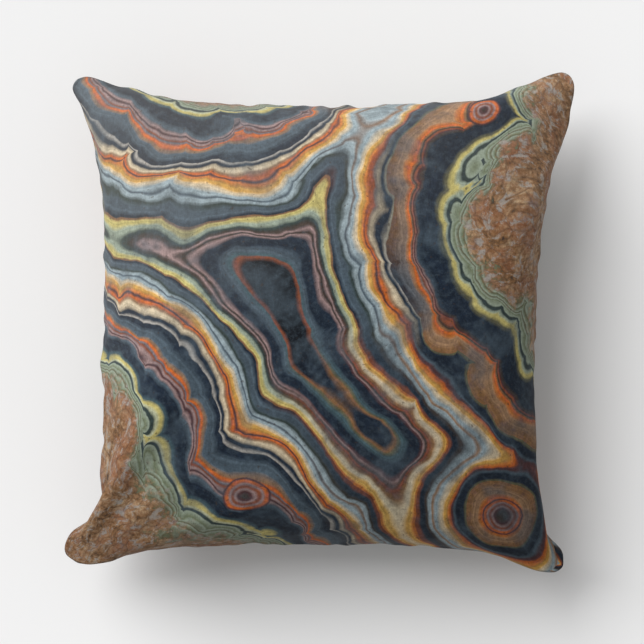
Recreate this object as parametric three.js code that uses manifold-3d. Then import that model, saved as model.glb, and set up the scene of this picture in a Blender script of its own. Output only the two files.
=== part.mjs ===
// A square throw pillow lying on its back panel: a knife-edge cover of two panels, the filled
// insert inside it, and a zip set into the bottom edge just under the front panel's lip.
// Millimetres. X runs along the bottom edge, Y towards the top edge and Z up through the front.
// The origin is on the surface that the pillow lies on, under the middle of its outline.
import * as THREE from "three";
import { mergeVertices } from "three/addons/utils/BufferGeometryUtils.js";
import Module from "manifold-3d";

const wasm = await Module();
wasm.setup();

// The seam between the two panels
const SEAM_HEIGHT = 64;
const BOTTOM_EDGE_Y = -177;
const SEAM_GAP = 0.3;
const EDGE_HALF = 1.4;

// The crowned faces: how far each stands off the seam, and how square the crown is
const CROWN_FRONT = 72;
const CROWN_BACK = 71;
const CROWN_FLATNESS = 2.2;
const CROWN_ROUNDNESS = 0.55;
const REST_BLEND = 5;

// Cloth and filling, as shares of the outline and as thicknesses
const CLOTH = 1.2;
const CAVITY_SCALE = 0.992;
const CAVITY_EDGE = 0.2;
const INSERT_SCALE = 0.952;
const INSERT_CROWN = 0.98;
const INSERT_CLEARANCE = 0.5;
const PANEL_CELLS = 24;
const INSERT_CELLS = 20;

// The zip: a straight slot under the front lip, measured from the bottom edge inwards
const SLOT_HALF = 116;
const SLOT_HEIGHT = 7;
const SLOT_DEPTH = 12;
const ZIP_Z = SEAM_HEIGHT - 3.6;
const TAPE_FACE_Y = BOTTOM_EDGE_Y + 4.7;
const TAPE_THICK = 0.8;
const TAPE_HALF = 118;
const TAPE_RISE = 7.6;
const TAPE_DROP = 5;
const COIL_HALF = 111.5;
const COIL_HEIGHT = 2.6;
const COIL_DEPTH = 1.2;
const STOP_LENGTH = 2;
const STOP_HEIGHT = 3.4;

// The slider, closed at the right-hand end, and its pull, lying back along the zip
const SLIDER_X = 106;
const SLIDER_LENGTH = 9;
const SLIDER_HEIGHT = 5;
const SLIDER_WALL = 1.2;
const SLIDER_FLANGE = 0.8;
const BAIL_REACH = 2.5;
const BAIL_SPAN = 5.9;
const BAIL_WALL = 0.9;
const BAIL_WIDTH = 1.6;
const PULL_HEAD = 5;
const PULL_THICK = 1;
const PULL_EYE = 3.9;
const PULL_EYE_HALF = 1.35;
const PULL_SIDE = [
  [0.5, 1], [-4.7, 1], [-6.4, 0.88], [-8.6, 0.64], [-11.6, 0.66], [-14, 0.9], [-15.8, 0.96],
  [-17.2, 0.72], [-18, 0.26],
];
const PIECE_GAP = 0.3;

// The outline seen from above, side by side between the four ears. Each ear tip is shared.
const EAR_TOP_LEFT = [-192.5, 192.6];
const EAR_TOP_RIGHT = [199.8, 195.6];
const EAR_BOTTOM_RIGHT = [193.2, -192.3];
const EAR_BOTTOM_LEFT = [-199.2, -185.6];
const TOP_SIDE = [
  EAR_TOP_LEFT, [-184.6, 194.8], [-171, 191], [-158, 185], [-131.4, 178.5], [-93.6, 172.5],
  [-54.4, 171.4], [3, 169.9], [52, 171.1], [95.8, 173], [129.9, 174.6], [144.3, 179.7],
  [166.1, 187.7], [182, 195.1], [193.3, 198.2], EAR_TOP_RIGHT,
];
const RIGHT_SIDE = [
  EAR_BOTTOM_RIGHT, [192.8, -182.8], [182, -170.7], [176.7, -157.1], [172.9, -126.9], [171, -98],
  [169.1, -55], [171.1, -14.2], [172.8, 38], [175.9, 77.7], [180.5, 109.4], [187, 130.6],
  [195.3, 150.3], [198.6, 166.8], [201, 180], [202, 189.5], EAR_TOP_RIGHT,
];
const BOTTOM_SIDE = [
  EAR_BOTTOM_LEFT, [-192, -189.4], [-180.5, -191.3], [-165, -187.6], [-146, -181],
  [-130, -177.8], [-116, BOTTOM_EDGE_Y], [-60, BOTTOM_EDGE_Y], [0, BOTTOM_EDGE_Y],
  [60, BOTTOM_EDGE_Y], [116, BOTTOM_EDGE_Y], [128, -179.6], [142, -184.6], [159.3, -191.1],
  [177, -197.6], [187.5, -197.2], EAR_BOTTOM_RIGHT,
];
const LEFT_SIDE = [
  EAR_BOTTOM_LEFT, [-202, -178.3], [-196.4, -166.2], [-184.3, -155.6], [-174.2, -144.5],
  [-174.9, -128.4], [-172.2, -104.2], [-170.6, -74], [-170.6, -44], [-169.5, 0], [-169.6, 60],
  [-171.4, 101.9], [-175.2, 124.5], [-181.3, 147.2], [-188.8, 172.9], [-194.4, 186], EAR_TOP_LEFT,
];

// Each ear hangs below the seam's plane by its own amount, fading out over this distance
const EAR_REACH = 72;
const EAR_DROOPS = [
  [EAR_TOP_LEFT, 5], [EAR_TOP_RIGHT, 3], [EAR_BOTTOM_RIGHT, 7], [EAR_BOTTOM_LEFT, 9],
];

const PRINT_COLOUR = 0x4a4f58;
const LINING_COLOUR = 0xe9e6df;
const TAPE_COLOUR = 0x232a35;
const METAL_COLOUR = 0x6b6f75;

const cloth = (color) => new THREE.MeshStandardMaterial({ color, roughness: 0.9, metalness: 0 });
const metal = (color) => new THREE.MeshStandardMaterial({ color, roughness: 0.35, metalness: 0.9 });

const sideCurve = (points) => new THREE.SplineCurve(points.map(([x, y]) => new THREE.Vector2(x, y)));
const SIDES = {
  top: sideCurve(TOP_SIDE),
  bottom: sideCurve(BOTTOM_SIDE),
  left: sideCurve(LEFT_SIDE),
  right: sideCurve(RIGHT_SIDE),
};

// Where cloth coordinates u and v, each from -1 to 1, lie in plan: a patch between the four sides
function planPoint(u, v) {
  const across = (u + 1) / 2;
  const up = (v + 1) / 2;
  const corner = (from, to) => from + (to - from) * across;
  const bottom = SIDES.bottom.getPointAt(across);
  const top = SIDES.top.getPointAt(across);
  const left = SIDES.left.getPointAt(up);
  const right = SIDES.right.getPointAt(up);
  const bilinear = (axis) =>
    (1 - up) * corner(EAR_BOTTOM_LEFT[axis], EAR_BOTTOM_RIGHT[axis]) +
    up * corner(EAR_TOP_LEFT[axis], EAR_TOP_RIGHT[axis]);
  return new THREE.Vector2(
    (1 - up) * bottom.x + up * top.x + (1 - across) * left.x + across * right.x - bilinear(0),
    (1 - up) * bottom.y + up * top.y + (1 - across) * left.y + across * right.y - bilinear(1),
  );
}

// The crown at u and v as a share of its full height: steep at the sides, thin at the ears
function crownShare(u, v) {
  const fall = (t) => 1 - Math.abs(t) ** CROWN_FLATNESS;
  return Math.max(fall(u) * fall(v), 0) ** CROWN_ROUNDNESS;
}

// The height of an underside that would reach z, flattened where it rests at the level floor
function rested(z, floor) {
  const above = z - floor;
  if (above <= -REST_BLEND) return floor;
  if (above >= REST_BLEND) return z;
  return floor + (above + REST_BLEND) ** 2 / (4 * REST_BLEND);
}

// A closed pillow form: a top grid, an underside grid and the strip that joins their borders
function pillowForm({ scale, front, back, edge, floor, cells }) {
  const side = cells + 1;
  const positions = [];
  const index = [];
  for (const upper of [true, false]) {
    for (let row = 0; row < side; row++) {
      for (let column = 0; column < side; column++) {
        const u = Math.sin((column / cells - 0.5) * Math.PI);
        const v = Math.sin((row / cells - 0.5) * Math.PI);
        const plan = planPoint(u, v).multiplyScalar(scale);
        const share = crownShare(u, v);
        const z = upper
          ? SEAM_HEIGHT + edge + front * share
          : rested(SEAM_HEIGHT - edge - back * share, floor);
        positions.push(plan.x, plan.y, z);
      }
    }
  }
  const at = (row, column, upper) => (upper ? 0 : side * side) + row * side + column;
  const quad = (a, b, c, d) => index.push(a, b, c, a, c, d);
  for (let row = 0; row < cells; row++) {
    for (let column = 0; column < cells; column++) {
      quad(at(row, column, true), at(row, column + 1, true),
        at(row + 1, column + 1, true), at(row + 1, column, true));
      quad(at(row, column, false), at(row + 1, column, false),
        at(row + 1, column + 1, false), at(row, column + 1, false));
    }
  }
  const border = [];
  for (let i = 0; i < cells; i++) border.push([0, i]);
  for (let i = 0; i < cells; i++) border.push([i, cells]);
  for (let i = cells; i > 0; i--) border.push([cells, i]);
  for (let i = cells; i > 0; i--) border.push([i, 0]);
  border.forEach(([row, column], i) => {
    const [nextRow, nextColumn] = border[(i + 1) % border.length];
    quad(at(row, column, false), at(nextRow, nextColumn, false),
      at(nextRow, nextColumn, true), at(row, column, true));
  });
  return new THREE.BufferGeometry()
    .setAttribute("position", new THREE.Float32BufferAttribute(positions, 3))
    .setIndex(index);
}

function toSolid(geometry) {
  const bare = new THREE.BufferGeometry().setAttribute("position", geometry.getAttribute("position"));
  if (geometry.index) bare.setIndex(geometry.index);
  const merged = mergeVertices(bare, 1e-4);
  return new wasm.Manifold(new wasm.Mesh({
    numProp: 3,
    vertProperties: new Float32Array(merged.getAttribute("position").array),
    triVerts: new Uint32Array(merged.index.array),
  }));
}

function toGeometry(solid) {
  const mesh = solid.getMesh();
  const geometry = new THREE.BufferGeometry()
    .setAttribute("position", new THREE.BufferAttribute(mesh.vertProperties, 3))
    .setIndex(new THREE.BufferAttribute(mesh.triVerts, 1));
  geometry.computeVertexNormals();
  return geometry;
}

function boxBetween(low, high) {
  const size = high.map((value, axis) => value - low[axis]);
  const middle = high.map((value, axis) => (value + low[axis]) / 2);
  return new THREE.BoxGeometry(...size).translate(...middle);
}

// Lowers what lies near each ear's tip
function droopEars(geometry) {
  const position = geometry.getAttribute("position");
  for (let i = 0; i < position.count; i++) {
    const z = EAR_DROOPS.reduce((height, [[x, y], droop]) => {
      const near = Math.max(1 - Math.hypot(position.getX(i) - x, position.getY(i) - y) / EAR_REACH, 0);
      return height - droop * near * near;
    }, position.getZ(i));
    position.setZ(i, z);
  }
  geometry.computeVertexNormals();
  return geometry;
}

function piece(name, geometry, material) {
  const mesh = new THREE.Mesh(geometry, material);
  mesh.name = name;
  return mesh;
}

// The two cloth panels: a hollow pillow form parted at the seam, with the zip's slot in the back
function coverPanels() {
  const outside = toSolid(pillowForm({
    scale: 1, front: CROWN_FRONT, back: CROWN_BACK, edge: EDGE_HALF, floor: 0, cells: PANEL_CELLS,
  }));
  const inside = toSolid(pillowForm({
    scale: CAVITY_SCALE, front: CROWN_FRONT, back: CROWN_BACK, edge: CAVITY_EDGE, floor: CLOTH,
    cells: PANEL_CELLS,
  }));
  const shell = outside.subtract(inside);
  const wide = 260;
  const above = boxBetween([-wide, -wide, SEAM_HEIGHT + SEAM_GAP / 2], [wide, wide, wide]);
  const below = boxBetween([-wide, -wide, -wide], [wide, wide, SEAM_HEIGHT - SEAM_GAP / 2]);
  const slot = boxBetween(
    [-SLOT_HALF, BOTTOM_EDGE_Y - SLOT_DEPTH, SEAM_HEIGHT - SLOT_HEIGHT],
    [SLOT_HALF, BOTTOM_EDGE_Y + SLOT_DEPTH, SEAM_HEIGHT + SLOT_HEIGHT],
  );
  const front = shell.intersect(toSolid(above));
  const back = shell.intersect(toSolid(below)).subtract(toSolid(slot));
  return [
    piece("front_panel", droopEars(toGeometry(front)), cloth(PRINT_COLOUR)),
    piece("back_panel", droopEars(toGeometry(back)), cloth(PRINT_COLOUR)),
  ];
}

// The filled inner pillow, a little smaller than the cover all round
function insert() {
  const form = pillowForm({
    scale: INSERT_SCALE,
    front: CROWN_FRONT * INSERT_CROWN,
    back: CROWN_BACK * INSERT_CROWN,
    edge: CAVITY_EDGE,
    floor: CLOTH + INSERT_CLEARANCE,
    cells: INSERT_CELLS,
  });
  return piece("insert", droopEars(form), cloth(LINING_COLOUR));
}

// Turns a shape drawn as (outwards -Y, up Z) into a bar of that section along X, centred on x = 0
function barAlongX(shape, length) {
  const bar = new THREE.ExtrudeGeometry(shape, { depth: length, bevelEnabled: false });
  bar.translate(0, 0, -length / 2);
  const axes = new THREE.Matrix4().makeBasis(
    new THREE.Vector3(0, 1, 0), new THREE.Vector3(0, 0, 1), new THREE.Vector3(1, 0, 0),
  );
  return bar.applyMatrix4(axes);
}

function shapeFrom(points) {
  return new THREE.Shape(points.map(([x, y]) => new THREE.Vector2(x, y)));
}

// The zip's still pieces: two tapes, the closed coil over their joint, and a stop at each end
function zipTrack() {
  const tape = (name, low, high) => piece(
    name,
    boxBetween([-TAPE_HALF, TAPE_FACE_Y, low], [TAPE_HALF, TAPE_FACE_Y + TAPE_THICK, high]),
    cloth(TAPE_COLOUR),
  );
  const coilBack = TAPE_FACE_Y - PIECE_GAP;
  const half = COIL_HEIGHT / 2;
  const coilSection = shapeFrom([
    [coilBack, -half], [coilBack, half], [coilBack - COIL_DEPTH * 0.6, half],
    [coilBack - COIL_DEPTH, half * 0.5], [coilBack - COIL_DEPTH, -half * 0.5],
    [coilBack - COIL_DEPTH * 0.6, -half],
  ]);
  const coil = piece("zip_coil", barAlongX(coilSection, 2 * COIL_HALF), cloth(TAPE_COLOUR));
  coil.position.z = ZIP_Z;
  const stop = (name, way) => {
    const mesh = piece(
      name,
      boxBetween([0, coilBack - COIL_DEPTH, -STOP_HEIGHT / 2], [STOP_LENGTH, coilBack, STOP_HEIGHT / 2]),
      metal(METAL_COLOUR),
    );
    mesh.position.set(way > 0 ? COIL_HALF + PIECE_GAP : -COIL_HALF - PIECE_GAP - STOP_LENGTH, 0, ZIP_Z);
    return mesh;
  };
  const track = new THREE.Group();
  track.add(
    tape("zip_tape_upper", ZIP_Z + SEAM_GAP / 2, ZIP_Z + TAPE_RISE),
    tape("zip_tape_lower", ZIP_Z - TAPE_DROP, ZIP_Z - SEAM_GAP / 2),
    coil,
    stop("zip_stop_closed", 1),
    stop("zip_stop_open", -1),
  );
  return track;
}

// The slider's faces, from the coil outwards
const SLIDER_INNER_Y = TAPE_FACE_Y - PIECE_GAP - COIL_DEPTH - 0.4;
const SLIDER_OUTER_Y = SLIDER_INNER_Y - SLIDER_WALL;
const PULL_AXIS_Y = SLIDER_OUTER_Y - PIECE_GAP - PULL_THICK / 2;

// The slider: a channel round the coil, with the arched bail that holds the pull
function zipSlider() {
  const half = SLIDER_HEIGHT / 2;
  const flangeBack = TAPE_FACE_Y - 0.4;
  const channel = barAlongX(shapeFrom([
    [flangeBack, half], [flangeBack, half - SLIDER_FLANGE], [SLIDER_INNER_Y, half - SLIDER_FLANGE],
    [SLIDER_INNER_Y, SLIDER_FLANGE - half], [flangeBack, SLIDER_FLANGE - half], [flangeBack, -half],
    [SLIDER_OUTER_Y, -half], [SLIDER_OUTER_Y, half],
  ].reverse()), SLIDER_LENGTH);
  const reach = SLIDER_OUTER_Y - BAIL_REACH;
  const root = SLIDER_OUTER_Y + SLIDER_WALL / 2;
  const hip = BAIL_SPAN / 2;
  const arch = new THREE.ExtrudeGeometry(shapeFrom([
    [-hip, root], [-hip, reach + BAIL_WALL], [-hip + BAIL_WALL, reach], [hip - BAIL_WALL, reach],
    [hip, reach + BAIL_WALL], [hip, root], [hip - BAIL_WALL, root],
    [hip - BAIL_WALL, reach + BAIL_WALL], [BAIL_WALL - hip, reach + BAIL_WALL], [BAIL_WALL - hip, root],
  ]), { depth: BAIL_WIDTH, bevelEnabled: false });
  arch.translate(0, 0, -BAIL_WIDTH / 2);
  const slider = piece("zip_slider", toGeometry(toSolid(channel).add(toSolid(arch))), metal(METAL_COLOUR));
  slider.position.set(SLIDER_X, 0, ZIP_Z);
  return slider;
}

// The pull: an eye round the bail and a waisted tongue, hinged on its bar at the slider's middle
function zipPull() {
  const edge = PULL_SIDE.map(([along, share]) => [along, (share * PULL_HEAD) / 2]);
  const otherEdge = edge.map(([along, half]) => [along, -half]).reverse();
  const outline = shapeFrom([...edge, ...otherEdge]);
  const bar = -PULL_THICK / 2;
  outline.holes.push(new THREE.Path([
    new THREE.Vector2(bar, -PULL_EYE_HALF),
    new THREE.Vector2(bar, PULL_EYE_HALF),
    new THREE.Vector2(-PULL_EYE, PULL_EYE_HALF),
    new THREE.Vector2(-PULL_EYE, -PULL_EYE_HALF),
  ]));
  const tongue = new THREE.ExtrudeGeometry(outline, { depth: PULL_THICK, bevelEnabled: false });
  tongue.translate(0, 0, -PULL_THICK / 2).rotateX(Math.PI / 2);
  const pull = piece("zip_pull", tongue, metal(METAL_COLOUR));
  pull.position.set(SLIDER_X, PULL_AXIS_Y, ZIP_Z);
  return pull;
}

// The outline was laid out about the middle of the crown, so it is moved onto its own middle here
function centred(group) {
  const middle = new THREE.Box3().setFromObject(group).getCenter(new THREE.Vector3());
  group.position.set(-middle.x, -middle.y, 0);
  return group;
}

const pillow = new THREE.Group();
pillow.add(...coverPanels(), insert(), zipTrack(), zipSlider(), zipPull());

export default centred(pillow);
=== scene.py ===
"""A square throw pillow with a banded-stone print, lying on its back panel.

The cover is cut flat, sewn round its four sides and blown up by a cloth simulation whose seam
follows the pillow's outline. Lengths are in metres, with sizes given in millimetres times MM.
X runs along the bottom edge, Y towards the top edge and Z up through the printed front.
"""
from __future__ import annotations

import logging
import math
from dataclasses import dataclass, field
from enum import Enum
from typing import Sequence

import bmesh
import bpy
import numpy as np
from mathutils import Matrix, Vector


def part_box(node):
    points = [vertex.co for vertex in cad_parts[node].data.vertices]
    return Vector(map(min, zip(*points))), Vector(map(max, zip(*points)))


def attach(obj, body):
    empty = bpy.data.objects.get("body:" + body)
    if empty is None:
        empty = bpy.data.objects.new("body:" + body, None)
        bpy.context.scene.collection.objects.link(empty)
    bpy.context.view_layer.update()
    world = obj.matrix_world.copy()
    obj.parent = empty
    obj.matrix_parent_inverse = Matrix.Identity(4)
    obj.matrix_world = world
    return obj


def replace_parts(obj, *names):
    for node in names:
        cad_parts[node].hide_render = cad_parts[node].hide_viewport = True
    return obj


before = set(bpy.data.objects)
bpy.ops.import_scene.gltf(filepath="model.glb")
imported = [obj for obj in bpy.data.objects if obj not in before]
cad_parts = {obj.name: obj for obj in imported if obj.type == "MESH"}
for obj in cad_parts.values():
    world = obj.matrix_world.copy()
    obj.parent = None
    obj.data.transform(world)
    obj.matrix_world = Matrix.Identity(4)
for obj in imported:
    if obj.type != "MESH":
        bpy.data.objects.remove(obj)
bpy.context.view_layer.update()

MM = 0.001
CLOTH_MAP = "cloth"
CUT_SIDE = 406 * MM

log = logging.getLogger("pillow")

Socket = bpy.types.NodeSocket
Colour = tuple[float, float, float, float]


def linear(hexadecimal: str) -> Colour:
    """A colour written as six hexadecimal digits, as the linear values that shaders take.

    Args:
        hexadecimal: Red, green and blue as two digits each.

    Returns:
        Red, green, blue and an alpha of one.
    """
    shares = [int(hexadecimal[start:start + 2], 16) / 255 for start in (0, 2, 4)]
    red, green, blue = (
        share / 12.92 if share <= 0.04045 else ((share + 0.055) / 1.055) ** 2.4
        for share in shares
    )
    return (red, green, blue, 1.0)


class NodeTree:
    """A node tree, built one call at a time."""

    def __init__(self, tree: bpy.types.NodeTree) -> None:
        """Takes a tree.

        Args:
            tree: The tree that the nodes go into.
        """
        self.tree = tree

    def node(self, kind: str, inputs: dict[str | int, object] | None = None,
             **settings: object) -> bpy.types.Node:
        """Adds a node, sets its settings and fills or links its inputs.

        Args:
            kind: The node's type.
            inputs: A value or another node's socket for each named or numbered input.
            **settings: The node's own properties.

        Returns:
            The new node.
        """
        made = self.tree.nodes.new(kind)
        for name, value in settings.items():
            setattr(made, name, value)
        for name, value in (inputs or {}).items():
            if isinstance(value, Socket):
                self.tree.links.new(value, made.inputs[name])
            else:
                made.inputs[name].default_value = value
        return made

    def math(self, operation: str, *values: object) -> Socket:
        """A Math node's result.

        Args:
            operation: The node's operation.
            *values: Its inputs in order.

        Returns:
            The value's socket.
        """
        return self.node("ShaderNodeMath", dict(enumerate(values)), operation=operation).outputs[0]

    def point(self, x: object = 0.0, y: object = 0.0, z: object = 0.0) -> Socket:
        """A vector from three numbers or sockets."""
        return self.node("ShaderNodeCombineXYZ", {0: x, 1: y, 2: z}).outputs[0]


class Graph(NodeTree):
    """A material's node tree."""

    def __init__(self, name: str) -> None:
        """Starts an empty material.

        Args:
            name: The material's name.
        """
        self.material = bpy.data.materials.new(name)
        self.material.use_nodes = True
        super().__init__(self.material.node_tree)
        self.tree.nodes.clear()

    def parts(self, vector: Socket) -> tuple[Socket, ...]:
        """A vector's X, Y and Z."""
        return tuple(self.node("ShaderNodeSeparateXYZ", {0: vector}).outputs)

    def vector(self, operation: str, *values: object, output: str = "Vector") -> Socket:
        """A Vector Math node's result.

        Args:
            operation: The node's operation.
            *values: Its inputs in order.
            output: "Vector" or "Value".

        Returns:
            The chosen output's socket.
        """
        inputs = dict(enumerate(values))
        return self.node("ShaderNodeVectorMath", inputs, operation=operation).outputs[output]

    def scaled(self, vector: Socket, factor: object) -> Socket:
        """A vector times a number."""
        inputs = {0: vector, "Scale": factor}
        return self.node("ShaderNodeVectorMath", inputs, operation="SCALE").outputs["Vector"]

    def noise(self, vector: Socket, size: float, detail: float = 2, roughness: float = 0.5,
              distortion: float = 0, output: str = "Fac") -> Socket:
        """Soft noise over a place.

        Args:
            vector: The place.
            size: How far apart its features are, in the place's own unit.
            detail: How many finer octaves it holds.
            roughness: How strong the finer octaves are.
            distortion: How far it is stirred.
            output: "Fac" or "Color".

        Returns:
            The chosen output's socket.
        """
        inputs = {"Vector": vector, "Scale": 1 / size, "Detail": detail, "Roughness": roughness,
                  "Distortion": distortion}
        return self.node("ShaderNodeTexNoise", inputs).outputs[output]

    def cells(self, vector: Socket, size: float, randomness: float = 1, feature: str = "F1",
              output: str = "Distance") -> Socket:
        """Distance to the nearest of many scattered points.

        Args:
            vector: The place.
            size: How far apart the points are.
            randomness: How far they stray from a grid.
            feature: The texture's feature.
            output: The texture's output.

        Returns:
            The chosen output's socket.
        """
        inputs = {"Vector": vector, "Scale": 1 / size, "Randomness": randomness}
        made = self.node("ShaderNodeTexVoronoi", inputs, feature=feature, voronoi_dimensions="2D")
        return made.outputs[output]

    def remap(self, value: Socket, low: float, high: float, to_low: float = 0, to_high: float = 1,
              smooth: bool = False) -> Socket:
        """A value moved from one range to another and kept in it.

        Args:
            value: The value.
            low: What becomes to_low.
            high: What becomes to_high.
            to_low: The result at low.
            to_high: The result at high.
            smooth: Whether it starts and ends softly.

        Returns:
            The result's socket.
        """
        inputs = {"Value": value, "From Min": low, "From Max": high, "To Min": to_low, "To Max": to_high}
        kind = "SMOOTHSTEP" if smooth else "LINEAR"
        return self.node("ShaderNodeMapRange", inputs, interpolation_type=kind, clamp=True).outputs[0]

    def ramp(self, value: Socket, stops: Sequence[tuple[float, Colour]]) -> Socket:
        """A colour looked up by a value.

        Args:
            value: The value, from zero to one.
            stops: Places and colours in rising order.

        Returns:
            The colour's socket.
        """
        made = self.node("ShaderNodeValToRGB", {"Fac": value})
        elements = made.color_ramp.elements
        elements[0].position, elements[0].color = stops[0]
        elements[1].position, elements[1].color = stops[-1]
        for position, colour in stops[1:-1]:
            elements.new(position).color = colour
        return made.outputs["Color"]

    def mix(self, share: object, first: object, second: object, blend: str = "MIX") -> Socket:
        """Two colours mixed.

        Args:
            share: How much of the second shows.
            first: A colour or its socket.
            second: A colour or its socket.
            blend: The way of mixing.

        Returns:
            The colour's socket.
        """
        inputs = {0: share, 6: first, 7: second}
        return self.node("ShaderNodeMix", inputs, data_type="RGBA", blend_type=blend).outputs[2]

    def shaded(self, colour: object, value: Socket, low: float, high: float, dark: float,
               light: float) -> Socket:
        """A colour made darker and lighter by a value.

        Args:
            colour: The colour.
            value: The value.
            low: What makes it darkest.
            high: What makes it lightest.
            dark: How much of the colour's light is left at low.
            light: How much at high.

        Returns:
            The colour's socket.
        """
        return self.mix(1.0, colour, self.remap(value, low, high, dark, light), "MULTIPLY")

    def centred(self, value: Socket, reach: object) -> Socket:
        """How far a value is from a half, times a reach."""
        return self.math("MULTIPLY", self.math("SUBTRACT", value, 0.5), reach)

    def blend(self, share: object, first: object, second: object) -> Socket:
        """Two numbers mixed.

        Args:
            share: How much of the second counts.
            first: A number or its socket.
            second: A number or its socket.

        Returns:
            The number's socket.
        """
        inputs = {0: share, 2: first, 3: second}
        return self.node("ShaderNodeMix", inputs, data_type="FLOAT").outputs[0]

    def cloth_place(self) -> Socket:
        """The place on the flat cut cloth, in millimetres from its middle."""
        place = self.node("ShaderNodeUVMap", uv_map=CLOTH_MAP).outputs["UV"]
        centred = self.vector("SUBTRACT", place, (0.5, 0.5, 0.0))
        return self.scaled(centred, CUT_SIDE / MM)

    def object_place(self) -> Socket:
        """The place on the object, in millimetres."""
        place = self.node("ShaderNodeTexCoord").outputs["Object"]
        return self.scaled(place, 1 / MM)

    def bump(self, height: Socket, depth: float) -> Socket:
        """A surface normal disturbed by a height.

        Args:
            height: The height, from zero to one.
            depth: How many metres a height of one stands for.

        Returns:
            The normal's socket.
        """
        return self.node("ShaderNodeBump", {"Height": height, "Distance": depth}).outputs["Normal"]

    def finish(self, inputs: dict[str, object]) -> bpy.types.Material:
        """Ends the tree with one Principled shader.

        Args:
            inputs: A value or socket for each of the shader's inputs that is set.

        Returns:
            The material.
        """
        shader = self.node("ShaderNodeBsdfPrincipled", inputs)
        output = self.node("ShaderNodeOutputMaterial")
        self.tree.links.new(shader.outputs["BSDF"], output.inputs["Surface"])
        return self.material


class Stone(Enum):
    """The print's colours."""

    INK = "0c1118"
    NAVY = "1a2431"
    SLATE = "48555f"
    TEAL = "41565c"
    LILAC = "6c676c"
    MAUVE = "8a7472"
    PALE_BLUE = "8a989d"
    CREAM = "c5b599"
    STRAW = "b4a868"
    GOLD = "bf934a"
    AMBER = "b56e34"
    ORANGE = "b05c26"
    RUST = "7a452e"
    MAROON = "4c3031"
    UMBER = "3d332d"
    OCHRE = "7d5c3c"
    OLIVE = "5a5842"
    MOSS = "697159"
    SAGE = "8b9686"
    CHARCOAL = "2e3936"
    LIME = "a9ac90"
    TAN = "8f7054"
    SAND = "a98f6e"
    FOG = "99958f"

    @property
    def colour(self) -> Colour:
        """The colour's linear values."""
        return linear(self.value)


@dataclass(frozen=True)
class Band:
    """One band of the stone, counted outwards from the lace.

    Attributes:
        width: Its width in millimetres.
        cool: Its colour on the left of the cloth.
        warm: Its colour on the right.
        soft: How many millimetres it takes to turn into the next band.
    """

    width: float
    cool: Stone
    warm: Stone
    soft: float = 1.2


@dataclass(frozen=True)
class Spot:
    """A round spot on the flat cloth, by its middle and radius in millimetres."""

    x: float
    y: float
    radius: float


BANDS = (
    Band(2.4, Stone.CHARCOAL, Stone.CHARCOAL, 1.6), Band(1.6, Stone.LIME, Stone.SAGE, 1.4),
    Band(4.5, Stone.STRAW, Stone.STRAW, 3), Band(2.5, Stone.TEAL, Stone.OLIVE, 2),
    Band(14, Stone.NAVY, Stone.NAVY, 4), Band(4, Stone.SLATE, Stone.NAVY, 3),
    Band(1.4, Stone.MAUVE, Stone.UMBER, 1), Band(1.3, Stone.MAROON, Stone.MAROON, 1),
    Band(2, Stone.MAUVE, Stone.RUST, 1.3), Band(1.2, Stone.RUST, Stone.UMBER, 1),
    Band(1.4, Stone.LILAC, Stone.OCHRE, 1), Band(3.2, Stone.ORANGE, Stone.ORANGE, 1.8),
    Band(1.6, Stone.TAN, Stone.AMBER, 1.2), Band(9, Stone.SLATE, Stone.TAN, 4),
    Band(6, Stone.NAVY, Stone.OCHRE, 4), Band(1.6, Stone.FOG, Stone.OLIVE, 1.2),
    Band(4, Stone.NAVY, Stone.NAVY, 2.5), Band(3.4, Stone.CREAM, Stone.NAVY, 2),
    Band(1.6, Stone.TAN, Stone.SLATE, 1.4), Band(2.6, Stone.ORANGE, Stone.MAROON, 1.6),
    Band(1.1, Stone.MAROON, Stone.ORANGE, 0.9), Band(2.2, Stone.AMBER, Stone.AMBER, 1.6),
    Band(3.8, Stone.GOLD, Stone.GOLD, 2), Band(2.6, Stone.CREAM, Stone.CREAM, 2),
    Band(4.4, Stone.PALE_BLUE, Stone.PALE_BLUE, 3), Band(0.9, Stone.SLATE, Stone.TAN, 0.9),
    Band(4, Stone.PALE_BLUE, Stone.PALE_BLUE, 2.5), Band(2.4, Stone.CHARCOAL, Stone.UMBER, 1.8),
    Band(6, Stone.SLATE, Stone.NAVY, 3), Band(2, Stone.NAVY, Stone.RUST, 1.5),
    Band(1.4, Stone.OCHRE, Stone.AMBER, 1.1), Band(3.4, Stone.STRAW, Stone.GOLD, 2),
    Band(3.4, Stone.SAGE, Stone.CREAM, 2.2), Band(2.2, Stone.CHARCOAL, Stone.OCHRE, 1.5),
    Band(1.8, Stone.UMBER, Stone.RUST, 1.2), Band(1.4, Stone.MAUVE, Stone.UMBER, 1),
    Band(1.6, Stone.UMBER, Stone.MAUVE, 1.2), Band(1.1, Stone.MAUVE, Stone.MAROON, 0.9),
    Band(10, Stone.NAVY, Stone.NAVY, 4), Band(3.5, Stone.SLATE, Stone.TEAL, 2.5),
    Band(1.4, Stone.TEAL, Stone.OLIVE, 1.2), Band(1.4, Stone.RUST, Stone.OCHRE, 1.1),
    Band(10, Stone.INK, Stone.NAVY, 4), Band(1.6, Stone.UMBER, Stone.RUST, 1.2),
    Band(4, Stone.OLIVE, Stone.GOLD, 2.5), Band(2, Stone.STRAW, Stone.AMBER, 1.5),
    Band(16, Stone.NAVY, Stone.SLATE, 5),
)

RINGS = (
    Band(3.4, Stone.UMBER, Stone.UMBER, 2.4), Band(2.2, Stone.MAROON, Stone.MAROON, 2),
    Band(1.6, Stone.MAUVE, Stone.MAUVE, 1.3), Band(2.2, Stone.RUST, Stone.RUST, 1.4),
    Band(1.4, Stone.MAUVE, Stone.MAUVE, 1.1), Band(2.6, Stone.ORANGE, Stone.ORANGE, 1.6),
    Band(1.2, Stone.MAROON, Stone.MAROON, 1),
)


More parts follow.
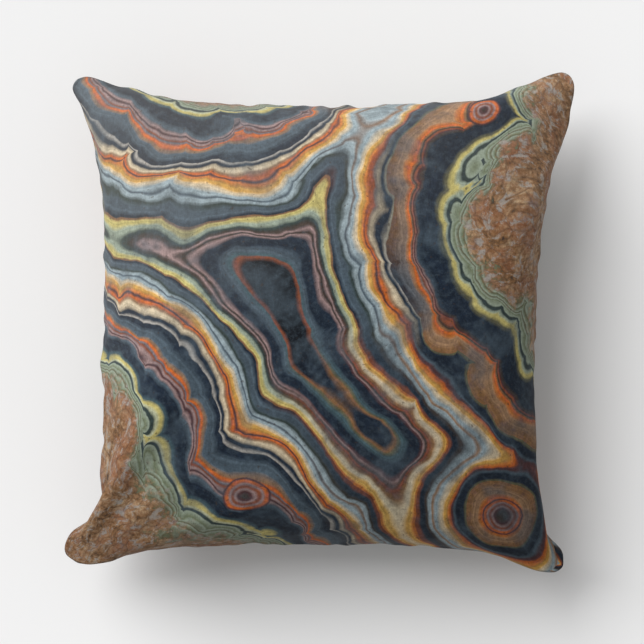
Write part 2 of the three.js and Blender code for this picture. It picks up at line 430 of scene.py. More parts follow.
@dataclass(frozen=True)
class StonePrint:
    """The cover's cloth: brushed polyester printed with banded stone.

    Lengths are millimetres on the flat cloth. Bands follow the distance from a few patches of lace,
    which are groups of spots, and bend round small eyes.

    Attributes:
        lace: The groups of spots.
        eyes: The ringed eyes.
        joining: How roundly two spots join.
        eye_joining: How roundly the bands close round an eye.
        eye_room: How far from its lace an eye's rim counts as lying.
        pushes: The size and reach of each soft push that bends everything.
        lobe: The size of the lace's scallops.
        lobe_reach: How far out the scallops still show.
        wave: The size of the slower waves of the bands.
        wave_reach: How far out those show.
        region: How far apart the warm and cool, deep and pale regions lie.
        drift: How far whole bands move in or out.
        widening: How much the bands' widths change.
        border: How far into the lace its sage border has lines.
        fan_middle: The middle of a lace's fan, as a share of the sum of its first and last spots.
        fan_reach: The distance from a fan's middle at which its fibres are measured across.
        fan_stretch: How many times longer than wide the crystals are.
        weave: The distance between threads.
        slub: The size of a slub, across and along its thread.
        nap: How deep the weave and its slubs are, in metres.
    """

    lace: tuple[tuple[Spot, ...], ...] = (
        (Spot(-204, -108, 70), Spot(-176, -184, 74), Spot(-96, -226, 62)),
        (Spot(184, 78, 76), Spot(222, 176, 68), Spot(230, 0, 50)),
        (Spot(-96, 232, 56),),
    )
    eyes: tuple[Spot, ...] = (Spot(-58, -128, 14), Spot(118, 168, 13), Spot(150, -150, 17))
    joining: float = 34
    eye_joining: float = 22
    eye_room: float = 40
    pushes: tuple[tuple[float, float], ...] = ((120, 22), (32, 4.5), (8, 0.8))
    lobe: float = 27
    lobe_reach: float = 105
    wave: float = 58
    wave_reach: float = 200
    region: float = 150
    drift: float = 22
    widening: float = 17
    border: float = 30
    fan_middle: float = 0.8
    fan_reach: float = 150
    fan_stretch: float = 1.9
    weave: float = 0.55
    slub: tuple[float, float] = (0.8, 5.5)
    nap: float = 0.1 * MM

    def pushed(self, graph: Graph, place: Socket, size: float, reach: float, detail: float = 1) -> Socket:
        """A place pushed about by soft noise.

        Args:
            graph: The material's tree.
            place: The place.
            size: How far apart the pushes change.
            reach: How far a push goes.
            detail: How many finer pushes there are.

        Returns:
            The moved place.
        """
        push = graph.noise(place, size, detail=detail, output="Color")
        centred = graph.vector("SUBTRACT", push, (0.5, 0.5, 0.5))
        flat = graph.vector("MULTIPLY", centred, (2 * reach, 2 * reach, 0.0))
        return graph.vector("ADD", place, flat)

    def past(self, graph: Graph, place: Socket, spot: Spot) -> Socket:
        """How far a place is past a spot's rim."""
        away = graph.vector("DISTANCE", place, (spot.x, spot.y, 0.0), output="Value")
        return graph.math("SUBTRACT", away, spot.radius)

    def distance(self, graph: Graph, place: Socket) -> Socket:
        """How far a place is from the nearest lace, with the spots joined roundly.

        Args:
            graph: The material's tree.
            place: The place on the cloth.

        Returns:
            The distance in millimetres, negative inside the lace.
        """
        nearest = None
        for spot in (spot for group in self.lace for spot in group):
            gap = self.past(graph, place, spot)
            nearest = gap if nearest is None else graph.math("SMOOTH_MIN", nearest, gap, self.joining)
        return nearest

    def scalloped(self, graph: Graph, place: Socket, distance: Socket) -> Socket:
        """The distance with rounded lobes that fade out from the lace.

        Args:
            graph: The material's tree.
            place: The place on the cloth.
            distance: The plain distance.

        Returns:
            The lobed distance.
        """
        lobes = (
            (self.wave, 0.36, graph.remap(distance, 0, self.wave_reach, 1, 0.15)),
            (self.lobe, 0.9, graph.remap(distance, -14, self.lobe_reach, 1, 0.12)),
            (self.lobe * 0.5, 0.6, graph.remap(distance, -8, 12, 1, 0)),
        )
        for size, rise, fade in lobes:
            away = graph.cells(place, size, 0.85)
            under = graph.math("SUBTRACT", 0.7, graph.math("MULTIPLY", away, away))
            dome = graph.math("SUBTRACT", graph.math("SQRT", graph.math("MAXIMUM", under, 0.0)), 0.5)
            height = graph.math("MULTIPLY", graph.math("MULTIPLY", dome, size * rise), fade)
            distance = graph.math("SUBTRACT", distance, height)
        return distance

    def eyed(self, graph: Graph, place: Socket, distance: Socket) -> tuple[Socket, Socket]:
        """The distance bent round the eyes.

        Args:
            graph: The material's tree.
            place: The place on the cloth.
            distance: The distance from the lace.

        Returns:
            The bent distance, and how far the place is past the nearest eye's rim.
        """
        nearest = None
        for eye in self.eyes:
            rim = self.past(graph, place, eye)
            room = graph.math("ADD", rim, self.eye_room)
            distance = graph.math("SMOOTH_MIN", distance, room, self.eye_joining)
            nearest = rim if nearest is None else graph.math("MINIMUM", nearest, rim)
        return distance, nearest

    def uneven(self, graph: Graph, place: Socket, distance: Socket, slow: Socket) -> Socket:
        """The distance with bands that drift in and out and change their widths.

        Args:
            graph: The material's tree.
            place: The place on the cloth.
            distance: The even distance.
            slow: Slow noise over the cloth.

        Returns:
            The uneven distance.
        """
        drift = graph.math("MULTIPLY", graph.centred(slow, self.drift), graph.remap(distance, 8, 60))
        deep = graph.point(z=graph.math("DIVIDE", distance, 24.0))
        spread = graph.vector("ADD", graph.scaled(place, 1 / 62), deep)
        widths = graph.noise(spread, 1, detail=1)
        widened = graph.centred(widths, graph.remap(distance, 6, 30, 0, self.widening))
        return graph.math("ADD", graph.math("ADD", distance, drift), widened)

    def banded(self, graph: Graph, distance: Socket, bands: Sequence[Band], warmth: object) -> Socket:
        """The bands' colours by distance.

        Args:
            graph: The material's tree.
            distance: The distance in millimetres.
            bands: The bands outwards from zero.
            warmth: How much of the warm colours shows.

        Returns:
            The colour's socket.
        """
        # A ramp holds 32 stops, and each band takes two.
        most = 15
        colour = None
        start = 0.0
        for first in range(0, len(bands), most):
            part = bands[first:first + most]
            length = sum(band.width for band in part)
            cool = []
            warm = []
            at = 0.0
            for band in part:
                edge = min(band.soft, band.width * 0.8) / 2
                for place in ((at + edge) / length, (at + band.width - edge) / length):
                    cool.append((place, band.cool.colour))
                    warm.append((place, band.warm.colour))
                at += band.width
            along = graph.remap(distance, start, start + length)
            looked_up = graph.mix(warmth, graph.ramp(along, cool), graph.ramp(along, warm))
            past = graph.remap(distance, start - 0.3, start + 0.3)
            colour = looked_up if colour is None else graph.mix(past, colour, looked_up)
            start += length
        return colour

    def layered(self, graph: Graph, place: Socket, distance: Socket, rim: Socket, slow: Socket) -> Socket:
        """The bands, warmer towards the right, with the eyes' rings over them.

        Args:
            graph: The material's tree.
            place: The place on the cloth.
            distance: The uneven distance.
            rim: How far the place is past the nearest eye's rim.
            slow: Slow noise over the cloth.

        Returns:
            The colour's socket.
        """
        east = graph.parts(place)[0]
        warm = graph.math("ADD", east, graph.centred(slow, 320.0))
        bands = self.banded(graph, distance, BANDS, graph.remap(warm, -10, 90, smooth=True))
        width = sum(ring.width for ring in RINGS)
        rings = self.banded(graph, graph.math("ADD", rim, width), RINGS, 0.0)
        return graph.mix(graph.remap(rim, -0.5, 0.5, 1, 0), bands, rings)

    def clouded(self, graph: Graph, place: Socket, distance: Socket, bands: Socket) -> Socket:
        """The bands with fine stripes, dull patches, mineral clouds and frost over the dark ones.

        Args:
            graph: The material's tree.
            place: The place on the cloth.
            distance: The uneven distance.
            bands: The bands' colour.

        Returns:
            The colour's socket.
        """
        fine = graph.node(
            "ShaderNodeTexNoise", {"W": distance, "Scale": 0.36, "Detail": 5.0, "Roughness": 0.72},
            noise_dimensions="1D",
        ).outputs["Fac"]
        striped = graph.shaded(bands, fine, 0.25, 0.75, 0.72, 1.26)
        dull = graph.noise(place, 44, detail=3, roughness=0.6)
        dulled = graph.mix(graph.remap(dull, 0.46, 0.66, 0, 0.5, smooth=True), striped, Stone.SLATE.colour)
        mineral = graph.noise(place, 9, detail=6, roughness=0.7)
        clouded = graph.shaded(dulled, mineral, 0.3, 0.7, 0.68, 1.34)
        frost = graph.remap(graph.noise(place, 5.5, detail=6, roughness=0.78), 0.47, 0.72, 0, 0.52)
        return graph.mix(frost, clouded, Stone.SLATE.colour, "LIGHTEN")

    def fanned(self, graph: Graph, place: Socket) -> Socket:
        """A place as its turn and distance about the middle of the nearest lace's fan.

        Args:
            graph: The material's tree.
            place: The place on the cloth.

        Returns:
            Millimetres across the fan at its usual distance, and shortened millimetres outwards.
        """
        nearest = None
        angle = None
        for group in self.lace:
            sums = group[0].x + group[-1].x, group[0].y + group[-1].y
            away = graph.vector("SUBTRACT", place, (*(self.fan_middle * part for part in sums), 0.0))
            east, north, _ = graph.parts(away)
            turned = graph.math("ARCTAN2", north, east)
            length = graph.vector("LENGTH", away, output="Value")
            if nearest is None:
                nearest, angle = length, turned
                continue
            closer = graph.math("LESS_THAN", length, nearest)
            angle = graph.blend(closer, angle, turned)
            nearest = graph.math("MINIMUM", nearest, length)
        across = graph.math("MULTIPLY", angle, self.fan_reach)
        return graph.point(across, graph.math("MULTIPLY", nearest, 1 / self.fan_stretch))

    def lace_colour(self, graph: Graph, place: Socket, distance: Socket) -> Socket:
        """The lace inside the bands: a lined sage border round a rusty, crystalline middle.

        Args:
            graph: The material's tree.
            place: The place on the cloth.
            distance: The distance, negative inside.

        Returns:
            The colour's socket.
        """
        fan = self.fanned(graph, self.pushed(graph, place, 16, 5, detail=2))
        fibres = graph.noise(fan, 3.6, detail=6, roughness=0.7, distortion=0.5)
        plumes = graph.noise(fan, 12, detail=3, roughness=0.55)
        crumb = graph.noise(place, 5, detail=6, roughness=0.7)
        grown = graph.blend(0.35, graph.blend(0.5, fibres, crumb), plumes)
        crystals = graph.ramp(grown, (
            (0.39, Stone.UMBER.colour), (0.45, Stone.OCHRE.colour), (0.495, Stone.TAN.colour),
            (0.54, Stone.SAND.colour), (0.6, Stone.FOG.colour),
        ))
        patches = graph.math("ADD", graph.noise(place, 40, detail=3, roughness=0.6), plumes)
        iron = graph.remap(patches, 0.86, 1.14, 0.05, 0.6, smooth=True)
        rusty = graph.mix(iron, crystals, Stone.RUST.colour)
        edges = graph.cells(fan, 7, feature="DISTANCE_TO_EDGE")
        veined = graph.mix(graph.remap(edges, 0.0, 0.13, 0.42, 0), rusty, Stone.UMBER.colour)
        haze = graph.remap(graph.noise(fan, 6, detail=5, roughness=0.7), 0.52, 0.62, 0, 0.75, smooth=True)
        middle = graph.mix(haze, veined, Stone.FOG.colour)
        depth = graph.math("MULTIPLY", distance, -1.0)
        border = graph.ramp(graph.remap(depth, 0, self.border), (
            (0.0, Stone.CHARCOAL.colour), (0.04, Stone.SAGE.colour), (0.15, Stone.MOSS.colour),
            (0.19, Stone.SAGE.colour), (0.27, Stone.OLIVE.colour), (0.31, Stone.SAGE.colour),
            (0.4, Stone.MOSS.colour), (0.44, Stone.OLIVE.colour), (0.49, Stone.SAGE.colour),
            (0.62, Stone.OLIVE.colour), (0.68, Stone.MOSS.colour), (1.0, Stone.MOSS.colour),
        ))
        inwards = graph.math("ADD", depth, graph.centred(grown, 120.0))
        return graph.mix(graph.remap(inwards, 9, 24, smooth=True), border, middle)

    def specked_with_painted_light(self, graph: Graph, cloth: Socket, place: Socket, stone: Socket, slow: Socket) -> Socket:
        """The stone with specks and grit, darkened by painted shade to the lower right, away from the key
        light, and paled by a painted sheen to the upper left.

        Args:
            graph: The material's tree.
            cloth: The place on the cloth.
            place: That place as pushed about.
            stone: The stone's colour.
            slow: Slow noise over the cloth.

        Returns:
            The colour's socket.
        """
        speck = graph.noise(cloth, 2.6, detail=4, roughness=0.75)
        specked = graph.shaded(stone, speck, 0.3, 0.7, 0.77, 1.23)
        grit = graph.remap(graph.noise(place, 3.4, detail=2, roughness=0.6), 0.29, 0.36, 0.55, 0)
        gritty = graph.mix(grit, specked, Stone.UMBER.colour)
        # Painted shade: the stone darkens away from the upper-left key light, varied by slow noise.
        slant = graph.vector("DOT_PRODUCT", cloth, (-0.45, 0.9, 0.0), output="Value")
        upper_left = graph.math("ADD", slant, graph.centred(slow, 160.0))
        painted_shade = graph.shaded(gritty, upper_left, -190, 60, 0.6, 1.0)
        # Painted sheen: a pale haze over the stone towards the upper left, where the key light falls.
        return graph.mix(graph.remap(upper_left, 0, 220, 0, 0.17), painted_shade, Stone.FOG.colour)

    def colour(self, graph: Graph, cloth: Socket) -> Socket:
        """The printed colour, with painted shade and a painted sheen over it.

        Args:
            graph: The material's tree.
            cloth: The place on the cloth.

        Returns:
            The colour's socket.
        """
        place = cloth
        for size, reach in self.pushes:
            place = self.pushed(graph, place, size, reach)
        lobed = self.scalloped(graph, place, self.distance(graph, place))
        bent, rim = self.eyed(graph, place, lobed)
        slow = graph.noise(cloth, self.region, detail=1)
        outside = self.uneven(graph, place, bent, slow)
        bands = self.clouded(graph, place, outside, self.layered(graph, place, outside, rim, slow))
        stone = graph.mix(graph.remap(bent, -0.7, 0.7), self.lace_colour(graph, place, bent), bands)
        return self.specked_with_painted_light(graph, cloth, place, stone, slow)

    def material(self) -> bpy.types.Material:
        """The printed cloth's material."""
        graph = Graph("printed_cloth")
        cloth = graph.cloth_place()
        across, along = self.slub
        slub = graph.noise(graph.vector("MULTIPLY", cloth, (1 / across, 1 / along, 1.0)), 1, detail=2)
        height = graph.blend(0.5, woven(graph, cloth, self.weave), slub)
        return graph.finish({
            "Base Color": graph.shaded(self.colour(graph, cloth), slub, 0.3, 0.7, 0.9, 1.1),
            "Roughness": graph.remap(slub, 0.3, 0.7, 0.78, 0.92),
            "Specular IOR Level": 0.12,
            "Sheen Weight": 0.05,
            "Sheen Roughness": 0.45,
            "Normal": graph.bump(height, self.nap),
        })


def woven(graph: Graph, place: Socket, pitch: float) -> Socket:
    """The height of a plain weave.

    Args:
        graph: The material's tree.
        place: The place in millimetres, whose X and Y the threads follow.
        pitch: The distance between threads in millimetres.

    Returns:
        The height, from zero to one.
    """
    across, along, _ = graph.parts(graph.scaled(place, math.pi / pitch))
    crossing = graph.math("MULTIPLY", graph.math("SINE", across), graph.math("SINE", along))
    return graph.remap(crossing, -1, 1)


@dataclass(frozen=True)
class InnerCloth:
    """The insert's plain white non-woven cover: pressed fibres and dots embossed 1.6 mm apart."""

    dot: float = 1.6

    def material(self) -> bpy.types.Material:
        """The insert's material."""
        graph = Graph("inner_cloth")
        cloth = graph.cloth_place()
        fibre = graph.noise(cloth, 1.3, detail=5, roughness=0.75, distortion=1.5)
        dots = graph.remap(graph.cells(cloth, self.dot, 0.0), 0.15, 0.3)
        cloud = graph.noise(cloth, 35, detail=2)
        pale = graph.mix(graph.remap(cloud, 0.35, 0.65), linear("efeee9"), linear("e4e2da"))
        return graph.finish({
            "Base Color": graph.shaded(pale, fibre, 0.25, 0.75, 0.93, 1.03),
            "Roughness": graph.remap(fibre, 0.3, 0.7, 0.82, 0.95),
            "Specular IOR Level": 0.2,
            "Normal": graph.bump(graph.math("MULTIPLY", dots, fibre), 0.12 * MM),
        })


@dataclass(frozen=True)
class TapeCloth:
    """The zip's tape: close dark navy weave with ribs along its length, sizes in millimetres."""

    rib: float = 0.9
    weave: float = 0.4

    def material(self) -> bpy.types.Material:
        """The tape's material."""
        graph = Graph("zip_tape_cloth")
        place = graph.object_place()
        along, _, up = graph.parts(place)
        flat = graph.point(along, up)
        weave = woven(graph, flat, self.weave)
        ribs = graph.math("SINE", graph.math("MULTIPLY", up, 2 * math.pi / self.rib))
        height = graph.blend(0.4, weave, graph.remap(ribs, -1, 1))
        wear = graph.noise(flat, 4, detail=4)
        dyed = graph.mix(graph.remap(wear, 0.35, 0.7), linear("1c2431"), linear("2b3544"))
        return graph.finish({
            # Painted shade in the hollows of the weave and ribs, and a painted highlight on their crowns:
            # the colour follows the bump's height.
            "Base Color": graph.shaded(dyed, height, 0, 1, 0.75, 1.15),
            "Roughness": graph.remap(wear, 0.3, 0.7, 0.72, 0.88),
            "Specular IOR Level": 0.3,
            "Normal": graph.bump(height, 0.12 * MM),
        })


@dataclass(frozen=True)
class Nylon:
    """Smooth dark nylon filament, for the coil and the sewing thread."""

    name: str
    dark: str
    light: str
    roughness: float

    def material(self) -> bpy.types.Material:
        """The filament's material."""
        graph = Graph(self.name)
        place = graph.object_place()
        twist = graph.noise(place, 0.5, detail=2)
        slow = graph.noise(place, 14, detail=2)
        dyed = graph.mix(graph.remap(slow, 0.35, 0.65), linear(self.dark), linear(self.light))
        return graph.finish({
            "Base Color": dyed,
            "Roughness": graph.remap(twist, 0.3, 0.7, self.roughness, self.roughness + 0.15),
            "Normal": graph.bump(twist, 0.03 * MM),
        })


@dataclass(frozen=True)
class Gunmetal:
    """The zip's slider, pull and stops: dark lacquered metal, rubbed brighter here and there."""

    def material(self) -> bpy.types.Material:
        """The metal's material."""
        graph = Graph("gunmetal")
        place = graph.object_place()
        rubbed = graph.noise(place, 5.5, detail=2, roughness=0.5)
        scratches = graph.noise(graph.vector("MULTIPLY", place, (0.5, 6.0, 6.0)), 1, detail=3)
        wear = graph.remap(rubbed, 0.42, 0.75, 0, 0.55, smooth=True)
        return graph.finish({
            "Base Color": graph.mix(wear, linear("54585e"), linear("8b8d90")),
            "Metallic": 1.0,
            "Roughness": graph.remap(graph.math("ADD", rubbed, scratches), 0.7, 1.3, 0.26, 0.44),
            "Normal": graph.bump(scratches, 0.015 * MM),
        })


@dataclass(frozen=True)
class StudioPaper:
    """The plain pale surface that the pillow lies on."""

    def material(self) -> bpy.types.Material:
        """The surface's material."""
        graph = Graph("studio_paper")
        tooth = graph.noise(graph.object_place(), 0.9, detail=3)
        return graph.finish({
            "Base Color": linear("e8e8e8"),
            "Roughness": graph.remap(tooth, 0.3, 0.7, 0.9, 0.96),
            "Specular IOR Level": 0.1,
        })


class Curve:
    """A smooth line through points, read by its share of length."""

    def __init__(self, points: Sequence[tuple[float, float]], steps: int = 40) -> None:
        """Draws the line.

        Args:
            points: Its points in order, in millimetres.
            steps: How many short pieces lie between two points.
        """
        through = np.array(points, float)
        ends = np.concatenate([through[:1], through, through[-1:]])
        share = np.linspace(0, 1, steps, endpoint=False)[:, None]
        pieces = []
        for before, start, end, after in zip(ends, ends[1:], ends[2:], ends[3:]):
            leave = (end - before) / 2
            arrive = (after - start) / 2
            bend = 2 * start - 2 * end + leave + arrive
            turn = 3 * end - 3 * start - 2 * leave - arrive
            pieces.append(bend * share ** 3 + turn * share ** 2 + leave * share + start)
        self.places = np.concatenate(pieces + [through[-1:]])
        lengths = np.linalg.norm(np.diff(self.places, axis=0), axis=1)
        self.shares = np.concatenate([[0], np.cumsum(lengths)]) / lengths.sum()

    def at(self, share: np.ndarray) -> np.ndarray:
        """Places along the line.

        Args:
            share: Shares of its length, from zero to one.

        Returns:
            X and Y for each share, in millimetres.
        """
        return np.stack([np.interp(share, self.shares, self.places[:, axis]) for axis in (0, 1)], -1)


class Ear(Enum):
    """The four pointed corners: where each tip lies in millimetres, and how far it droops."""

    TOP_LEFT = (-192.5, 192.6, 5)
    TOP_RIGHT = (199.8, 195.6, 3)
    BOTTOM_RIGHT = (193.2, -192.3, 7)
    BOTTOM_LEFT = (-199.2, -185.6, 9)

    @property
    def tip(self) -> tuple[float, float]:
        """The tip's place."""
        return self.value[:2]

    @property
    def droop(self) -> float:
        """How far the tip hangs below the seam's plane."""
        return self.value[2]


class Outline:
    """The pillow seen from above: four sides between the ears, and the patch that fills them.

    Attributes:
        shallowest: How far down the bottom side lies where it bows in most, in millimetres.
        ear_reach: How far from its tip an ear droops, in millimetres.
    """

    shallowest: float = -175.4
    ear_reach: float = 72.0

    def __init__(self) -> None:
        """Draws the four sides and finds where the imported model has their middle."""
        edge = self.shallowest
        top_left, top_right = Ear.TOP_LEFT.tip, Ear.TOP_RIGHT.tip
        bottom_left, bottom_right = Ear.BOTTOM_LEFT.tip, Ear.BOTTOM_RIGHT.tip
        self.top = Curve([
            top_left, (-184.6, 194.8), (-171, 191), (-158, 185.8), (-149.5, 185), (-140, 182.6),
            (-131.4, 179.5), (-112, 175.9), (-102, 174.9), (-78, 172.4), (-54.4, 171.8), (-14, 171),
            (3, 170.4), (12, 168.6), (21, 171), (39, 169.6), (50, 171.2), (68, 172.6), (95.8, 173.2),
            (129.9, 175.4), (144.3, 180.6), (166.1, 188.4), (182, 195.1), (193.3, 198.2), top_right,
        ])
        self.right = Curve([
            bottom_right, (193, -181.6), (182.6, -170.7), (175.8, -160.2), (170.4, -150.6),
            (167.8, -138), (167.3, -118), (168.6, -98), (169.1, -55), (171.1, -14.2), (173, 38),
            (177.2, 77.7), (182.4, 109.4), (188.4, 130.6), (196, 150.3), (198.8, 166.8), (201.2, 180),
            (202.4, 189.5), top_right,
        ])
        self.bottom = Curve([
            bottom_left, (-192, -189.9), (-180.5, -192.2), (-166, -190.4), (-155, -186.2),
            (-143, -181.9), (-128.9, -180.3), (-112, -178.2), (-91, -177.9), (-72, -176.6),
            (-53, edge), (-34, -175.9), (-5, -176.3), (32, -176.2), (51, edge), (70, -177),
            (92, -178), (108, -179.8), (122, -181), (135, -183.2), (146, -187), (157, -191.4),
            (168, -195.8), (178, -198.2), (187.5, -197.6), bottom_right,
        ])
        self.left = Curve([
            bottom_left, (-202, -178.3), (-196.6, -167), (-184, -158.4), (-173.4, -152.6),
            (-169.8, -146.4), (-171.4, -137), (-172.9, -126), (-172.4, -108), (-170.6, -91),
            (-170.2, -60), (-171.6, -42), (-172.6, -28), (-170.2, -15), (-169.7, 30), (-169.6, 60),
            (-171, 96), (-174.6, 122), (-180.3, 147.2), (-187.4, 168.9), (-194.9, 184), top_left,
        ])
        low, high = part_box("front_panel")
        drawn = np.concatenate([side.places for side in (self.top, self.right, self.bottom, self.left)])
        drawn_middle = (drawn.min(0) + drawn.max(0)) / 2
        self.middle = np.array([low.x + high.x, low.y + high.y]) / 2 / MM - drawn_middle

    def plan(self, across: np.ndarray, up: np.ndarray) -> np.ndarray:
        """Where the cloth lies in plan.

        Args:
            across: Shares of the way from the left edge to the right.
            up: Shares of the way from the bottom edge to the top.

        Returns:
            X and Y for each, in metres.
        """
        east, north = across[..., None], up[..., None]
        order = (Ear.BOTTOM_LEFT, Ear.BOTTOM_RIGHT, Ear.TOP_LEFT, Ear.TOP_RIGHT)
        corners = [np.array(ear.tip) for ear in order]
        low = (1 - east) * corners[0] + east * corners[1]
        high = (1 - east) * corners[2] + east * corners[3]
        ends = (1 - north) * self.bottom.at(across) + north * self.top.at(across)
        sides = (1 - east) * self.left.at(up) + east * self.right.at(up)
        return (ends + sides - (1 - north) * low - north * high + self.middle) * MM

    def droop(self, places: np.ndarray) -> np.ndarray:
        """How far each place hangs below the seam's plane because an ear is near.

        Args:
            places: Points in metres, with X and Y first.

        Returns:
            The drop in metres.
        """
        drop = np.zeros(places.shape[:-1])
        for ear in Ear:
            tip = (np.array(ear.tip) + self.middle) * MM
            away = np.linalg.norm(places[..., :2] - tip, axis=-1)
            drop += ear.droop * MM * np.maximum(1 - away / (self.ear_reach * MM), 0) ** 2
        return drop


def crown(across: np.ndarray, up: np.ndarray, squareness: float = 2.2, fullness: float = 0.55) -> np.ndarray:
    """How far a filled square panel stands off its seam, as a share of its highest point.

    Args:
        across: Shares of the way from the left edge to the right.
        up: Shares of the way from the bottom edge to the top.
        squareness: How flat its top is. At two it is a parabola.
        fullness: How steeply it rises at the seam. Less is steeper.

    Returns:
        The share at each place.
    """
    fall = [1 - np.abs(2 * share - 1) ** squareness for share in (across, up)]
    return np.maximum(fall[0] * fall[1], 0) ** fullness


def quads(rows: np.ndarray, outward: bool = True) -> np.ndarray:
    """The faces between rows of points.

    Args:
        rows: The point's number at each row and column.
        outward: False turns the faces over.

    Returns:
        Four point numbers for each cell, row by row.
    """
    corners = [rows[:-1, :-1], rows[:-1, 1:], rows[1:, 1:], rows[1:, :-1]]
    if not outward:
        corners.reverse()
    return np.stack(corners, -1)


def border(grid: np.ndarray) -> np.ndarray:
    """What a grid holds round its border, from the first corner along the first row and back to it."""
    return np.concatenate([grid[0, :-1], grid[:-1, -1], grid[-1, :0:-1], grid[::-1, 0]])


class ClothMesh:
    """A piece of cloth that grows strip by strip.

    It holds points, their places on the flat cloth, the faces between them and the sharp folds.
    """

    def __init__(self, outward: bool = True) -> None:
        """Starts with no cloth.

        Args:
            outward: False for cloth whose faces are turned over, as a back panel's are.
        """
        self.outward = outward
        self.points: list[np.ndarray] = []
        self.flat: list[np.ndarray] = []
        self.faces: list[np.ndarray] = []
        self.folds: list[np.ndarray] = []

    def add(self, points: np.ndarray, flat: np.ndarray) -> np.ndarray:
        """Adds points.

        Args:
            points: Their places in metres.
            flat: Their places on the flat cloth, as shares of its side.

        Returns:
            Their numbers, in the same arrangement.
        """
        start = sum(len(part) for part in self.points)
        self.points.append(points.reshape(-1, 3))
        self.flat.append(flat.reshape(-1, 2))
        return start + np.arange(len(self.points[-1])).reshape(points.shape[:-1])

    def strip(self, rows: np.ndarray, keep: np.ndarray | None = None) -> None:
        """Adds the faces between rows of points.

        Args:
            rows: The points' numbers.
            keep: Which cells have cloth, if not all.
        """
        cells = quads(rows, self.outward)
        self.faces.append(cells.reshape(-1, 4) if keep is None else cells[keep])

    def fold(self, line: np.ndarray) -> None:
        """Marks a line of points as a sharp fold."""
        self.folds.append(np.sort(np.column_stack([line[:-1], line[1:]]), axis=1))

    def piece(self, name: str) -> bpy.types.Object:
        """Makes the cloth's object, without the points that no face uses.

        Args:
            name: The object's name.

        Returns:
            The object, linked to the scene.
        """
        points, flat = np.concatenate(self.points), np.concatenate(self.flat)
        faces = np.concatenate(self.faces)
        used, renumbered = np.unique(faces, return_inverse=True)
        faces = renumbered.reshape(faces.shape)
        mesh = bpy.data.meshes.new(name)
        mesh.from_pydata(points[used].tolist(), [], faces.tolist())
        mesh.polygons.foreach_set("use_smooth", np.ones(len(faces), bool))
        layer = mesh.uv_layers.new(name=CLOTH_MAP)
        layer.uv.foreach_set("vector", flat[used][faces.ravel()].astype(np.float32).ravel())
        if self.folds:
            numbers = np.full(len(points), -1)
            numbers[used] = np.arange(len(used))
            folds = numbers[np.concatenate(self.folds)]
            edges = np.empty(2 * len(mesh.edges), np.int32)
            mesh.edges.foreach_get("vertices", edges)
            ends = np.sort(edges.reshape(-1, 2), axis=1) @ (len(points), 1)
            sharp = np.isin(ends, np.sort(folds, axis=1) @ (len(points), 1))
            creases = mesh.attributes.new("crease_edge", "FLOAT", "EDGE")
            creases.data.foreach_set("value", sharp.astype(np.float32))
        made = bpy.data.objects.new(name, mesh)
        bpy.context.scene.collection.objects.link(made)
        return made


def flattened(piece: bpy.types.Object) -> bpy.types.Object:
    """Turns a piece's modifiers into its mesh.

    Args:
        piece: The object.

    Returns:
        The same object, with no modifiers left.
    """
    graph = bpy.context.evaluated_depsgraph_get()
    made = bpy.data.meshes.new_from_object(piece.evaluated_get(graph), depsgraph=graph)
    old = piece.data
    piece.modifiers.clear()
    piece.data = made
    made.name = piece.name
    bpy.data.meshes.remove(old)
    return piece


def dressed(piece: bpy.types.Object, material: bpy.types.Material) -> bpy.types.Object:
    """Gives a piece its one material.

    Args:
        piece: The object.
        material: The material.

    Returns:
        The same object.
    """
    piece.data.materials.clear()
    piece.data.materials.append(material)
    return piece


